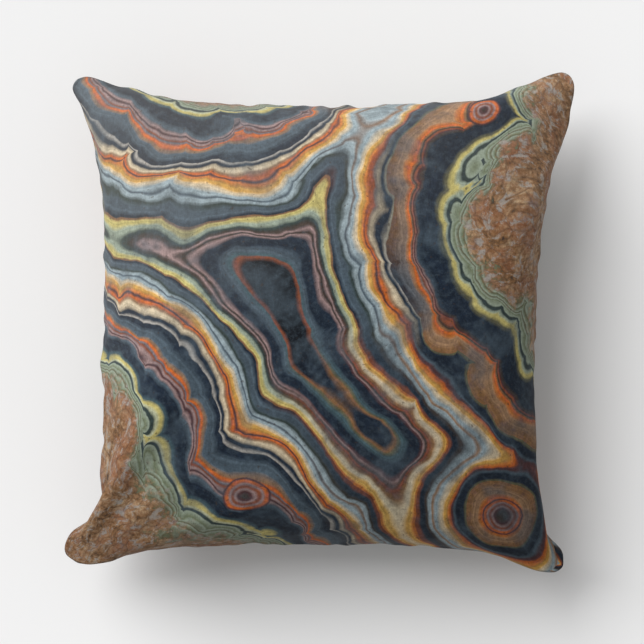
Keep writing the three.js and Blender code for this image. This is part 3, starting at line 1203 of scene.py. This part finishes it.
@dataclass(frozen=True)
class SewnBag:
    """Two square panels sewn together, blown up while the seam is drawn in to the outline.

    Attributes:
        outline: The outline that the seam takes.
        cells: How many cells the cloth's grid has along a side.
        frames: How long the simulation runs.
        drawing: How many frames the seam takes to be drawn in.
        pressure: How hard the filling pushes.
        slack: How far the flat panels lie from the seam's plane at first.
        filled: How far their target stands off it.
        ruffle: How uneven the flat cloth is.
        seed: The unevenness's seed.
    """

    outline: Outline
    cells: int = 104
    frames: int = 24
    drawing: int = 8
    pressure: float = 24
    slack: float = 4 * MM
    filled: float = 62 * MM
    ruffle: float = 0.15 * MM
    seed: int = 11

    @property
    def shares(self) -> tuple[np.ndarray, np.ndarray]:
        """The cloth's shares across and up at each row and column."""
        steps = np.linspace(0, 1, self.cells + 1)
        across, up = np.meshgrid(steps, steps)
        return across, up

    @property
    def flat(self) -> np.ndarray:
        """The place on the flat cloth at each row and column."""
        return np.stack(self.shares, -1)

    def filled_form(self, way: int) -> np.ndarray:
        """The plain crowned form of one panel, with the seam at zero height.

        Args:
            way: One for the front, minus one for the back.

        Returns:
            The points by row and column.
        """
        across, up = self.shares
        height = way * self.filled * crown(across, up)
        return np.concatenate([self.outline.plan(across, up), height[..., None]], -1)

    def cut_form(self, way: int) -> np.ndarray:
        """One panel as cut and sewn, lying nearly flat.

        Args:
            way: One for the front, minus one for the back.

        Returns:
            The points by row and column.
        """
        across, up = self.shares
        chance = np.random.default_rng(self.seed + way)
        lift = way * (self.slack + chance.normal(0, self.ruffle, across.shape)) * crown(across, up)
        return np.stack([(across - 0.5) * CUT_SIDE, (up - 0.5) * CUT_SIDE, lift], -1)

    def point_numbers(self) -> tuple[np.ndarray, np.ndarray, np.ndarray]:
        """Numbers the bag's points, where the back shares the front's seam.

        Returns:
            The front's and the back's numbers by row and column, and which of them are the seam.
        """
        side = self.cells + 1
        rim = np.ones((side, side), bool)
        rim[1:-1, 1:-1] = False
        front = np.arange(side * side).reshape(side, side)
        back = front.copy()
        back[~rim] = side * side + np.arange((~rim).sum())
        return front, back, rim

    def sewn(self, front: np.ndarray, back: np.ndarray, rim: np.ndarray) -> bpy.types.Object:
        """Makes the bag as cut, with a shape key that draws it in over the first frames.

        Args:
            front: The front's point numbers.
            back: The back's point numbers.
            rim: Which points are the seam.

        Returns:
            The bag.
        """
        cut, filled = (
            np.concatenate([form(1).reshape(-1, 3), form(-1)[~rim]])
            for form in (self.cut_form, self.filled_form)
        )
        mesh = bpy.data.meshes.new("sewn_bag")
        faces = np.concatenate([quads(front).reshape(-1, 4), quads(back, outward=False).reshape(-1, 4)])
        mesh.from_pydata(cut.tolist(), [], faces.tolist())
        bag = bpy.data.objects.new("sewn_bag", mesh)
        bpy.context.scene.collection.objects.link(bag)
        bag.shape_key_add(name="cut")
        drawn = bag.shape_key_add(name="drawn")
        drawn.data.foreach_set("co", filled.astype(np.float32).ravel())
        bag.vertex_groups.new(name="seam").add(front[rim].tolist(), 1.0, "REPLACE")
        for value, at in ((0, 1), (1, 1 + self.drawing)):
            drawn.value = value
            drawn.keyframe_insert("value", frame=at)
        return bag

    def blown(self) -> tuple[np.ndarray, np.ndarray]:
        """Runs the simulation.

        Returns:
            The front's and the back's points in metres, with the seam at zero height.
        """
        front, back, rim = self.point_numbers()
        bag = self.sewn(front, back, rim)
        self.add_cloth(bag)
        scene = bpy.context.scene
        scene.frame_start, scene.frame_end = 1, self.frames
        for at in range(1, self.frames + 1):
            scene.frame_set(at)
        settled = bag.evaluated_get(bpy.context.evaluated_depsgraph_get()).data
        points = np.empty(3 * len(settled.vertices))
        settled.vertices.foreach_get("co", points)
        points = points.reshape(-1, 3)
        mesh = bag.data
        bpy.data.objects.remove(bag)
        bpy.data.meshes.remove(mesh)
        scene.frame_set(1)
        return points[front], points[back]

    def add_cloth(self, bag: bpy.types.Object) -> None:
        """Gives the bag its cloth simulation.

        Args:
            bag: The bag, with a vertex group named seam.
        """
        cloth = bag.modifiers.new("Cloth", "CLOTH")
        settings = cloth.settings
        settings.quality = 6
        settings.mass = 0.1
        settings.tension_stiffness = settings.compression_stiffness = 15
        settings.shear_stiffness = 1
        settings.bending_stiffness = 5
        settings.tension_damping = settings.compression_damping = 15
        settings.shear_damping = 9
        settings.bending_damping = 2
        settings.air_damping = 4
        settings.use_pressure = True
        settings.uniform_pressure_force = self.pressure
        settings.effector_weights.gravity = 0
        settings.vertex_group_mass = "seam"
        settings.pin_stiffness = 1
        cloth.collision_settings.use_collision = False
        cloth.collision_settings.use_self_collision = False
        cloth.point_cache.frame_start = 1
        cloth.point_cache.frame_end = self.frames


@dataclass
class Cover:
    """The two printed panels, sewn round their edges, with the zip's slot under the front's lip.

    Attributes:
        bag: The cloth as blown up.
        finish: The printed cloth.
        seam_z: The seam's height.
        front_crown: How far the front stands off the seam.
        back_crown: How far the back would, if nothing pressed on it.
        rest_blend: How softly the back turns flat where it lies on the floor.
        thickness: The cloth's thickness.
        seam_gap: Each panel's distance from the seam's plane.
        allowance: How far the cloth is turned in behind the seam.
        tape_room: How far the turned-in cloth stays from the zip's tape.
        smoothing: How many times the simulated cloth is smoothed.
        bump_counts: How many bumps each wave of the seam has round the pillow.
        wander_up: How far the seam wanders up and down.
        wander_out: How far it wanders in and out.
        wander_depth: How far into the panel that fades out.
        calm_margin: How far past the zip slot's ends the seam stays straight.
        calm_fade: How far past that it takes to wander freely again.
        zip_freedom: How much of its wandering the front's seam keeps over the zip.
        slot_half: Half the slot's length.
        slot_margin: How far past its ends the turned-in cloth still keeps off the tape.
        slot_ease: How far past its ends the cloth is drawn out with it.
        slot_spread: How many rows away from its lower lip that fades over.
        slot_rows: How many rows of cloth the slot takes away.
        lip_y: Where the slot's lower lip stands.
        lip_z: That lip's height.
        hem_rows: How many rows of cloth deep the lower lip's hem is.
        hem_gap: How far behind the cloth the hem's far face is.
        front: The front's points by row and column.
        back: The back's points.
    """

    bag: SewnBag
    finish: StonePrint
    seam_z: float = 64 * MM
    front_crown: float = 73.4 * MM
    back_crown: float = 72.4 * MM
    rest_blend: float = 5 * MM
    thickness: float = 0.5 * MM
    seam_gap: float = 0.2 * MM
    allowance: float = 6 * MM
    tape_room: float = 0.3 * MM
    smoothing: int = 3
    bump_counts: tuple[int, ...] = (29, 41, 58, 77, 103)
    wander_up: float = 1.0 * MM
    wander_out: float = 0.8 * MM
    wander_depth: float = 9 * MM
    calm_margin: float = 3 * MM
    calm_fade: float = 14 * MM
    zip_freedom: float = 0.7
    slot_half: float = 116 * MM
    slot_margin: float = 4 * MM
    slot_ease: float = 10 * MM
    slot_spread: float = 2.4
    slot_rows: int = 2
    lip_y: float = -174.9 * MM
    lip_z: float = 57.2 * MM
    hem_rows: int = 3
    hem_gap: float = 1.1 * MM
    front: np.ndarray = field(init=False)
    back: np.ndarray = field(init=False)

    def settle(self) -> None:
        forms = self.bag.blown()
        front, back = (smoothed(form, self.smoothing) for form in forms)
        front[..., 2] *= self.front_crown / front[..., 2].max()
        back[..., 2] *= self.back_crown / -back[..., 2].min()
        for panel in (front, back):
            panel += self.wander(panel, over_zip=panel is front)
            panel[..., 2] += self.seam_z
        back[..., 2] = self.rested(back[..., 2])
        for panel in (front, back):
            panel[..., 2] -= self.bag.outline.droop(panel)
        self.front, self.back = front, back

    def rested(self, height: np.ndarray) -> np.ndarray:
        """Heights of the underside, turned flat softly where it meets the floor.

        Args:
            height: The heights if nothing were below.

        Returns:
            The heights with the floor there.
        """
        blend = self.rest_blend
        turning = (np.clip(height, -blend, blend) + blend) ** 2 / (4 * blend)
        return np.where(height >= blend, height, turning)

    def freedom(self, panel: np.ndarray, over_zip: bool) -> np.ndarray:
        """How freely the seam may wander, so that it runs straight past the slot's ends.

        Args:
            panel: The panel's points.
            over_zip: Whether it wanders between the slot's ends too.

        Returns:
            A share for each point.
        """
        up = self.bag.shares[1]
        past_zip = np.abs(panel[..., 0]) - self.slot_half
        free = np.clip((past_zip - self.calm_margin) / self.calm_fade, 0, 1)
        if over_zip:
            free = np.maximum(free, np.clip(-past_zip / self.calm_fade, 0, self.zip_freedom))
        bottom = (up < 0.15) & (np.abs(panel[..., 1]) > np.abs(panel[..., 0]))
        return np.where(bottom, free, 1.0)

    def wander(self, panel: np.ndarray, over_zip: bool) -> np.ndarray:
        """The seam's small bumps, which fade out into the panel.

        Args:
            panel: The panel's points.
            over_zip: Whether the edge over the zip has them too.

        Returns:
            How far each point moves.
        """
        across, up = self.bag.shares
        chance = np.random.default_rng(self.bag.seed)
        turn = np.arctan2(up - 0.5, across - 0.5)
        bumps = []
        for _ in ("out", "up"):
            waves = [np.sin(count * turn + chance.uniform(0, 2 * math.pi)) for count in self.bump_counts]
            bumps.append(sum(waves) / len(waves) ** 0.5)
        from_rim = np.minimum.reduce([across, 1 - across, up, 1 - up]) * CUT_SIDE
        fade = np.exp(-from_rim / self.wander_depth) * self.freedom(panel, over_zip)
        away = np.stack([across - 0.5, up - 0.5], -1)
        away /= np.linalg.norm(away, axis=-1, keepdims=True).clip(1e-9)
        out = away * (bumps[0] * fade * self.wander_out)[..., None]
        return np.concatenate([out, (bumps[1] * fade * self.wander_up)[..., None]], -1)

    def turned_in(self, cloth: ClothMesh, grid: np.ndarray, panel: np.ndarray, flat: np.ndarray,
                  keep: np.ndarray) -> None:
        """Adds the seam allowance, which lies level behind the seam.

        Args:
            cloth: The panel's mesh.
            grid: Its points' numbers.
            panel: Its points.
            flat: Its places on the flat cloth.
            keep: Which steps round the border have an allowance.
        """
        outline = self.bag.outline
        across, up = (border(share) for share in self.bag.shares)
        seam, seam_flat = border(panel), border(flat)
        tape_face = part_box("zip_tape_upper")[0].y - self.tape_room
        by_zip = (up == 0) & (np.abs(seam[:, 0]) < self.slot_half + self.slot_margin)
        rows = [border(grid)]
        cloth.fold(rows[0])
        for share in (0.1, 1.0):
            inset = share * self.allowance / CUT_SIDE
            inner = outline.plan(np.clip(across, inset, 1 - inset), np.clip(up, inset, 1 - inset))
            place = seam[:, :2] + inner - outline.plan(across, up)
            place[by_zip, 1] = np.minimum(place[by_zip, 1], tape_face)
            height = seam[:, 2] + outline.droop(seam) - outline.droop(place)
            beyond = (seam_flat - 0.5) * (1 + 2 * inset) + 0.5
            rows.append(cloth.add(np.column_stack([place, height]), beyond))
        cloth.strip(np.stack(rows[::-1]), np.stack([keep, keep]))

    def front_panel(self) -> bpy.types.Object:
        """The front panel."""
        panel = self.front.copy()
        panel[..., 2] += self.seam_gap
        cloth = ClothMesh()
        grid = cloth.add(panel, self.bag.flat)
        cloth.strip(grid)
        everywhere = np.ones(4 * self.bag.cells, bool)
        self.turned_in(cloth, grid, panel, self.bag.flat, everywhere)
        return self.finished(cloth.piece("front"))

    def back_panel(self) -> bpy.types.Object:
        """The back panel, with the zip's slot and the hem of its lower lip."""
        panel = self.back.copy()
        panel[..., 2] = np.where(panel[..., 2] > self.seam_gap, panel[..., 2] - self.seam_gap, panel[..., 2])
        flat = self.bag.flat * (-1, 1) + (1, 0)
        cloth = ClothMesh(outward=False)
        grid = cloth.add(panel, flat)
        columns = self.slot_columns(panel)
        keep = np.ones((self.bag.cells, self.bag.cells), bool)
        keep[:self.slot_rows, columns[:-1]] = False
        cloth.strip(grid, keep)
        round_border = np.ones(4 * self.bag.cells, bool)
        round_border[columns[:-1]] = False
        self.turned_in(cloth, grid, panel, flat, round_border)
        self.add_hem(cloth, grid, panel, flat, columns)
        return self.finished(cloth.piece("back"))

    def slot_columns(self, panel: np.ndarray) -> np.ndarray:
        """The columns of cloth points that the slot spans."""
        return np.flatnonzero(np.abs(panel[0, :, 0]) <= self.slot_half)

    def open_slot(self) -> None:
        """Draws the cloth beside the slot out to its straight lower lip."""
        lip = self.back[self.slot_rows]
        beyond = np.clip((np.abs(lip[:, 0]) - self.slot_half) / self.slot_ease, 0, 1)
        share = 1 - beyond * beyond * (3 - 2 * beyond)
        shift = np.zeros_like(lip)
        shift[:, 1] = (self.lip_y - lip[:, 1]) * share
        shift[:, 2] = (self.lip_z - lip[:, 2]) * share
        rows = np.arange(len(self.back))
        fade = np.exp(-((rows - self.slot_rows) / self.slot_spread) ** 2)
        fade[0] = 0
        self.back += fade[:, None, None] * shift

    def add_hem(self, cloth: ClothMesh, grid: np.ndarray, panel: np.ndarray, flat: np.ndarray,
                columns: np.ndarray) -> None:
        """Adds the hem that is folded in behind the slot's lower lip.

        Args:
            cloth: The back panel's mesh.
            grid: Its points' numbers.
            panel: Its points.
            flat: Its places on the flat cloth.
            columns: The columns that the slot spans.
        """
        lip = self.slot_rows
        rows = [grid[lip, columns]]
        cloth.fold(rows[0])
        for step in range(self.hem_rows):
            here = panel[lip + step, columns]
            below = panel[lip + step + 1, columns]
            down = below - here
            inwards = np.stack([np.zeros(len(columns)), -down[:, 2], down[:, 1]], -1)
            inwards /= np.linalg.norm(inwards, axis=1, keepdims=True)
            turned = flat[lip, columns] - (flat[lip + step, columns] - flat[lip, columns])
            rows.append(cloth.add(here + inwards * self.hem_gap, turned))
        cloth.strip(np.stack(rows[::-1]))

    def finished(self, piece: bpy.types.Object) -> bpy.types.Object:
        """A panel with its thickness and one subdivision.

        Args:
            piece: The panel's object.

        Returns:
            The same object.
        """
        wall = piece.modifiers.new("thickness", "SOLIDIFY")
        wall.thickness = self.thickness
        wall.offset = -1
        smooth = piece.modifiers.new("smooth", "SUBSURF")
        smooth.levels = smooth.render_levels = 1
        flattened(piece)
        return piece

    def build(self) -> list[bpy.types.Object]:
        """Builds and dresses both panels."""
        self.settle()
        self.open_slot()
        material = self.finish.material()
        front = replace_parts(dressed(self.front_panel(), material), "front_panel")
        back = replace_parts(dressed(self.back_panel(), material), "back_panel")
        for panel in (front, back):
            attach(panel, "cover")
        return [front, back]


def smoothed(panel: np.ndarray, passes: int) -> np.ndarray:
    """A grid of points without its small ripples, its rim left alone.

    Args:
        panel: The points by row and column.
        passes: How often each point moves half-way to its neighbours' middle.

    Returns:
        The smoother points.
    """
    panel = panel.copy()
    for _ in range(passes):
        near = panel[:-2, 1:-1] + panel[2:, 1:-1] + panel[1:-1, :-2] + panel[1:-1, 2:]
        panel[1:-1, 1:-1] = (panel[1:-1, 1:-1] + near / 4) / 2
    return panel


@dataclass
class Insert:
    """The filled inner pillow: the cover's own form, a little smaller, with rounder edges.

    Attributes:
        cover: The settled cover round it.
        finish: Its cloth.
        reach: How much of the cover's width and of its length it fills.
        fullness: How much of the cover's height it fills.
        roundness: How close to its edge it is still full.
        cells: How many cells its grid has along a side.
    """

    cover: Cover
    finish: InnerCloth
    reach: tuple[float, float] = (0.955, 0.943)
    fullness: float = 0.975
    roundness: float = 6.0
    cells: int = 52

    def side(self, panel: np.ndarray, middle: np.ndarray) -> np.ndarray:
        """One side of the insert.

        Args:
            panel: The cover's panel over it.
            middle: The heights half-way between the two panels.

        Returns:
            The side's points by row and column.
        """
        steps = np.linspace(-1, 1, self.cells + 1)
        across, up = np.meshgrid(steps, steps)
        inner = (across * self.reach[0] + 1) / 2, (up * self.reach[1] + 1) / 2
        under = sampled(np.dstack([panel, middle]), *inner)
        nearest_edge = np.maximum(np.abs(across), np.abs(up))
        full = np.sqrt(1 - nearest_edge ** self.roundness)[..., None]
        level = np.dstack([self.cover.bag.outline.plan(*inner), under[..., 3]])
        near = np.minimum(full * (1, 1, self.fullness), 1)
        return level + (under[..., :3] - level) * near

    def build(self) -> list[bpy.types.Object]:
        """Builds and dresses the insert."""
        middle = (self.cover.front[..., 2] + self.cover.back[..., 2]) / 2
        steps = np.linspace(0, 1, self.cells + 1)
        flat = np.stack(np.meshgrid(steps, steps), -1)
        cloth = ClothMesh()
        front = cloth.add(self.side(self.cover.front, middle), flat)
        back = cloth.add(self.side(self.cover.back, middle), flat)
        cloth.strip(front)
        for rim in (np.s_[0, :], np.s_[-1, :], np.s_[:, 0], np.s_[:, -1]):
            back[rim] = front[rim]
        cloth.faces.append(quads(back, outward=False).reshape(-1, 4))
        piece = cloth.piece("inner_pillow")
        smooth = piece.modifiers.new("smooth", "SUBSURF")
        smooth.levels = smooth.render_levels = 1
        dressed(flattened(piece), self.finish.material())
        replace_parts(piece, "insert")
        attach(piece, "cover")
        return [piece]


def sampled(grid: np.ndarray, across: np.ndarray, up: np.ndarray) -> np.ndarray:
    """What a grid holds between its points.

    Args:
        grid: The grid's values by row and column.
        across: Shares of the way along its columns.
        up: Shares of the way along its rows.

    Returns:
        The values at those places.
    """
    last = len(grid) - 1
    column = np.clip((across * last).astype(int), 0, last - 1)
    row = np.clip((up * last).astype(int), 0, last - 1)
    east = (across * last - column)[..., None]
    north = (up * last - row)[..., None]
    low = grid[row, column] * (1 - east) + grid[row, column + 1] * east
    high = grid[row + 1, column] * (1 - east) + grid[row + 1, column + 1] * east
    return low * (1 - north) + high * north


class Modelling(NodeTree):
    """A Geometry Nodes tree that repeats a shape."""

    def __init__(self, name: str, sizes: dict[str, float]) -> None:
        """Starts a tree with named inputs.

        Args:
            name: The tree's name.
            sizes: Its number inputs and their values.
        """
        super().__init__(bpy.data.node_groups.new(name, "GeometryNodeTree"))
        face = self.tree.interface
        face.new_socket("Geometry", in_out="INPUT", socket_type="NodeSocketGeometry")
        face.new_socket("Geometry", in_out="OUTPUT", socket_type="NodeSocketGeometry")
        self.values: dict[str, object] = dict(sizes)
        for size in sizes:
            face.new_socket(size, in_out="INPUT", socket_type="NodeSocketFloat")
        face.new_socket("Material", in_out="INPUT", socket_type="NodeSocketMaterial")
        self.inputs = self.tree.nodes.new("NodeGroupInput").outputs

    def thread(self, corners: Sequence[Socket], radius: object, sides: int = 6, steps: int = 7) -> Socket:
        """A round filament along a curve with two handles.

        Args:
            corners: Its start, two handles and end.
            radius: Half its thickness.
            sides: How many sides its section has.
            steps: How many pieces it has along its length.

        Returns:
            The mesh's socket.
        """
        names = ("Start", "Start Handle", "End Handle", "End")
        inputs = {"Resolution": steps, **dict(zip(names, corners))}
        path = self.node("GeometryNodeCurvePrimitiveBezierSegment", inputs, mode="POSITION").outputs[0]
        section = self.node("GeometryNodeCurvePrimitiveCircle", {"Resolution": sides, "Radius": radius})
        inputs = {"Curve": path, "Profile Curve": section.outputs[0], "Fill Caps": True}
        return self.node("GeometryNodeCurveToMesh", inputs).outputs[0]

    def finish(self, instances: Socket) -> None:
        """Ends the tree: the instances become one smooth mesh with the given material.

        Args:
            instances: The instances' socket.
        """
        real = self.node("GeometryNodeRealizeInstances", {0: instances}).outputs[0]
        smooth = self.node("GeometryNodeSetShadeSmooth", {"Geometry": real}).outputs[0]
        inputs = {"Geometry": smooth, "Material": self.inputs["Material"]}
        finished = self.node("GeometryNodeSetMaterial", inputs).outputs[0]
        self.node("NodeGroupOutput", {0: finished})

    def run(self, name: str, base: bpy.types.Mesh, material: bpy.types.Material) -> bpy.types.Object:
        """Runs the tree on a mesh and keeps the result as a plain one.

        Args:
            name: The new piece's name.
            base: The mesh that it works on.
            material: The piece's material.

        Returns:
            The piece.
        """
        piece = bpy.data.objects.new(name, base)
        bpy.context.scene.collection.objects.link(piece)
        modifier = piece.modifiers.new("repeat", "NODES")
        modifier.node_group = self.tree
        values = {**self.values, "Material": material}
        for item in self.tree.interface.items_tree:
            if item.in_out == "INPUT" and item.name in values:
                modifier[item.identifier] = values[item.name]
        flattened(piece)
        return dressed(piece, material)


@dataclass
class Zip:
    """The zip in the slot: two tapes, the coil, a stop at each end, the slider, its pull and the stitching.

    Attributes:
        cover: The settled cover, whose lower lip the stitches follow.
        tape: The tapes' cloth.
        coil: The coil's filament.
        thread: The sewing thread.
        metal: The metal of the slider, pull and stops.
        tooth_pitch: The distance from one tooth to the next, on either side.
        filament: The coil filament's thickness.
        stitch: One stitch's length with its gap.
        thread_thickness: The sewing thread's thickness.
        stitch_share: Where the stitches run between two rows of cloth.
        stitch_out: How far outside the cloth their line lies.
    """

    cover: Cover
    tape: TapeCloth
    coil: Nylon
    thread: Nylon
    metal: Gunmetal
    tooth_pitch: float = 0.64 * MM
    filament: float = 0.56 * MM
    stitch: float = 2.8 * MM
    thread_thickness: float = 0.3 * MM
    stitch_share: float = 0.6
    stitch_out: float = 0.05 * MM

    def rounded(self, node: str, name: str, radius: float, body: str, slot: str,
                material: bpy.types.Material) -> bpy.types.Object:
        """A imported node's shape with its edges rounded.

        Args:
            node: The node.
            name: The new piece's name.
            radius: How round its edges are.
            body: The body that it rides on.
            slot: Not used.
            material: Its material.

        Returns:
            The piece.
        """
        mesh = bpy.data.meshes.new(name)
        shape = bmesh.new()
        shape.from_mesh(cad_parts[node].data)
        bmesh.ops.remove_doubles(shape, verts=shape.verts, dist=1e-6)
        bmesh.ops.dissolve_limit(shape, angle_limit=0.02, verts=shape.verts, edges=shape.edges)
        shape.to_mesh(mesh)
        shape.free()
        mesh.polygons.foreach_set("use_smooth", np.ones(len(mesh.polygons), bool))
        piece = bpy.data.objects.new(name, mesh)
        bpy.context.scene.collection.objects.link(piece)
        bevel = piece.modifiers.new("rounded", "BEVEL")
        bevel.width = radius
        bevel.segments = 3
        bevel.limit_method = "ANGLE"
        bevel.angle_limit = math.radians(25)
        bevel.harden_normals = True
        dressed(flattened(piece), material)
        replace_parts(piece, node)
        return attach(piece, body)

    def teeth(self) -> bpy.types.Object:
        """The closed coil: filament loops that reach in from both tapes by turns."""
        low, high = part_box("zip_coil")
        middle = (low + high) / 2
        reach = high.z - middle.z - self.filament / 2
        depth = high.y - low.y - self.filament
        plan = Modelling("coil_teeth", {
            "Length": high.x - low.x - self.filament, "Pitch": self.tooth_pitch,
            "Filament": self.filament, "Reach": reach, "Depth": depth,
        })
        inputs = plan.inputs
        half = plan.math("MULTIPLY", inputs["Depth"], 0.5)
        outer = plan.math("MULTIPLY", inputs["Depth"], -0.83)
        head = plan.math("MULTIPLY", inputs["Reach"], -0.3)
        tooth = plan.thread(
            (plan.point(0.0, half, inputs["Reach"]), plan.point(0.0, outer, inputs["Reach"]),
             plan.point(0.0, outer, head), plan.point(0.0, half, head)),
            plan.math("MULTIPLY", inputs["Filament"], 0.5),
        )
        count = plan.math("FLOOR", plan.math("DIVIDE", inputs["Length"], inputs["Pitch"]))
        start = plan.point(plan.math("MULTIPLY", inputs["Length"], -0.5))
        line = plan.node("GeometryNodeMeshLine", {
            "Count": count, "Start Location": start, "Offset": plan.point(inputs["Pitch"]),
        }, mode="OFFSET", count_mode="TOTAL").outputs[0]
        number = plan.node("GeometryNodeInputIndex").outputs[0]
        flip = plan.math("MULTIPLY", plan.math("MODULO", number, 2.0), -2.0)
        turned = plan.point(1.0, 1.0, plan.math("ADD", flip, 1.0))
        placed = plan.node("GeometryNodeInstanceOnPoints", {
            "Points": line, "Instance": tooth, "Scale": turned,
        }).outputs[0]
        plan.finish(placed)
        piece = plan.run("coil_teeth", bpy.data.meshes.new("coil_teeth"), self.coil.material())
        piece.data.transform(Matrix.Translation(middle))
        faces_out(piece)
        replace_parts(piece, "zip_coil")
        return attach(piece, "cover")

    def stitches(self) -> bpy.types.Object:
        """The row of stitches that holds the slot's lower hem to the tape."""
        cover = self.cover
        columns = cover.slot_columns(cover.back)
        upper = cover.back[cover.slot_rows, columns]
        lower = cover.back[cover.slot_rows + 1, columns]
        line = upper + (lower - upper) * self.stitch_share
        line[:, 1] -= self.stitch_out
        line[:, 2] -= cover.seam_gap
        path = bpy.data.meshes.new("stitches")
        steps = [(number, number + 1) for number in range(len(line) - 1)]
        path.from_pydata(line.tolist(), steps, [])
        plan = Modelling("stitch_row", {"Stitch": self.stitch, "Thickness": self.thread_thickness})
        inputs = plan.inputs
        curve = plan.node("GeometryNodeMeshToCurve", {"Mesh": inputs["Geometry"]}).outputs[0]
        spaced = plan.node("GeometryNodeCurveToPoints", {
            "Curve": curve, "Length": inputs["Stitch"],
        }, mode="LENGTH")
        end = plan.math("MULTIPLY", inputs["Stitch"], 0.4)
        near = plan.math("MULTIPLY", inputs["Stitch"], 0.32)
        sunk = plan.math("MULTIPLY", inputs["Thickness"], 0.7)
        proud = plan.math("MULTIPLY", inputs["Thickness"], -0.6)
        start = plan.point(plan.math("MULTIPLY", end, -1.0), sunk)
        rising = plan.point(plan.math("MULTIPLY", near, -1.0), proud)
        stitch = plan.thread(
            (start, rising, plan.point(near, proud), plan.point(end, sunk)),
            plan.math("MULTIPLY", inputs["Thickness"], 0.5), steps=6,
        )
        along = plan.node("FunctionNodeAlignEulerToVector", {"Vector": spaced.outputs["Tangent"]}, axis="X")
        placed = plan.node("GeometryNodeInstanceOnPoints", {
            "Points": spaced.outputs["Points"], "Instance": stitch, "Rotation": along.outputs[0],
        }).outputs[0]
        plan.finish(placed)
        piece = plan.run("stitches", path, self.thread.material())
        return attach(piece, "cover")

    def build(self) -> list[bpy.types.Object]:
        """Builds and dresses the zip's pieces."""
        cloth = self.tape.material()
        metal = self.metal.material()
        return [
            self.rounded("zip_tape_upper", "tape_upper", 0.2 * MM, "cover", "zip_tape", cloth),
            self.rounded("zip_tape_lower", "tape_lower", 0.2 * MM, "cover", "zip_tape", cloth),
            self.teeth(),
            self.stitches(),
            self.rounded("zip_stop_closed", "stop_closed", 0.35 * MM, "cover", "zip_metal", metal),
            self.rounded("zip_stop_open", "stop_open", 0.35 * MM, "cover", "zip_metal", metal),
            self.rounded("zip_slider", "slider", 0.28 * MM, "slider", "zip_metal", metal),
            self.rounded("zip_pull", "pull", 0.3 * MM, "pull", "zip_metal", metal),
        ]


def faces_out(piece: bpy.types.Object) -> None:
    """Turns a piece's faces outwards.

    Args:
        piece: The object, whose parts are closed.
    """
    shape = bmesh.new()
    shape.from_mesh(piece.data)
    bmesh.ops.recalc_face_normals(shape, faces=shape.faces)
    shape.to_mesh(piece.data)
    shape.free()


@dataclass
class Studio:
    """The pale surface, the soft key light from the upper left, the fill and the camera overhead.

    Attributes:
        paper: The surface's finish.
        floor_half: Half the surface's side.
        floor_gap: How far the surface lies under the pillow, so that no two faces coincide.
        key_from: Where the key light comes from.
        key_strength: Its strength.
        key_width: How wide it is, in degrees.
        fill: The grey level of the light from all round.
        lens: The camera's focal length in millimetres.
        camera: The camera's place.
    """

    paper: StudioPaper
    floor_half: float = 6.0
    floor_gap: float = 0.1 * MM
    key_from: tuple[float, float, float] = (-1.0, 1.0, 1.1)
    key_strength: float = 3.4
    key_width: float = 50.0
    fill: float = 0.45
    lens: float = 151.0
    camera: tuple[float, float, float] = (0.0022, 0.0, 2.2)

    def add_floor(self) -> None:
        """Adds the surface."""
        half = self.floor_half
        low = -self.floor_gap
        mesh = bpy.data.meshes.new("studio_floor")
        corners = [(-half, -half, low), (half, -half, low), (half, half, low), (-half, half, low)]
        mesh.from_pydata(corners, [], [(0, 1, 2, 3)])
        floor = bpy.data.objects.new("studio_floor", mesh)
        bpy.context.scene.collection.objects.link(floor)
        dressed(floor, self.paper.material())

    def add_lights(self) -> None:
        """Adds the key light and the light from all round."""
        scene = bpy.context.scene
        sun = bpy.data.lights.new("key", "SUN")
        sun.energy = self.key_strength
        sun.angle = math.radians(self.key_width)
        key = bpy.data.objects.new("key", sun)
        key.rotation_euler = Vector(self.key_from).to_track_quat("Z", "Y").to_euler()
        scene.collection.objects.link(key)
        world = bpy.data.worlds.new("fill")
        world.use_nodes = True
        background = world.node_tree.nodes["Background"]
        background.inputs["Color"].default_value = (1.0, 1.0, 1.0, 1.0)
        background.inputs["Strength"].default_value = self.fill
        scene.world = world

    def add_camera(self) -> None:
        """Adds the camera overhead, with the colours shown plainly."""
        scene = bpy.context.scene
        lens = bpy.data.cameras.new("camera")
        lens.lens = self.lens
        lens.clip_end = 50
        camera = bpy.data.objects.new("camera", lens)
        camera.location = self.camera
        scene.collection.objects.link(camera)
        scene.camera = camera
        scene.view_settings.view_transform = "Standard"

    def build(self) -> None:
        """Builds the surface, the lights and the camera."""
        self.add_floor()
        self.add_lights()
        self.add_camera()


def main() -> None:
    """Builds the pillow and its studio, and reports each piece."""
    logging.basicConfig(level=logging.INFO, format="%(name)s: %(message)s")
    cover = Cover(SewnBag(Outline()), StonePrint())
    pieces = cover.build()
    pieces += Insert(cover, InnerCloth()).build()
    pieces += Zip(
        cover, TapeCloth(), Nylon("coil_nylon", "151b26", "222b39", 0.32),
        Nylon("sewing_thread", "2a3140", "3a4353", 0.55), Gunmetal(),
    ).build()
    for piece in pieces:
        log.info("%s has %d faces", piece.name, len(piece.data.polygons))
    Studio(StudioPaper()).build()


if __name__ == "__main__":
    main()
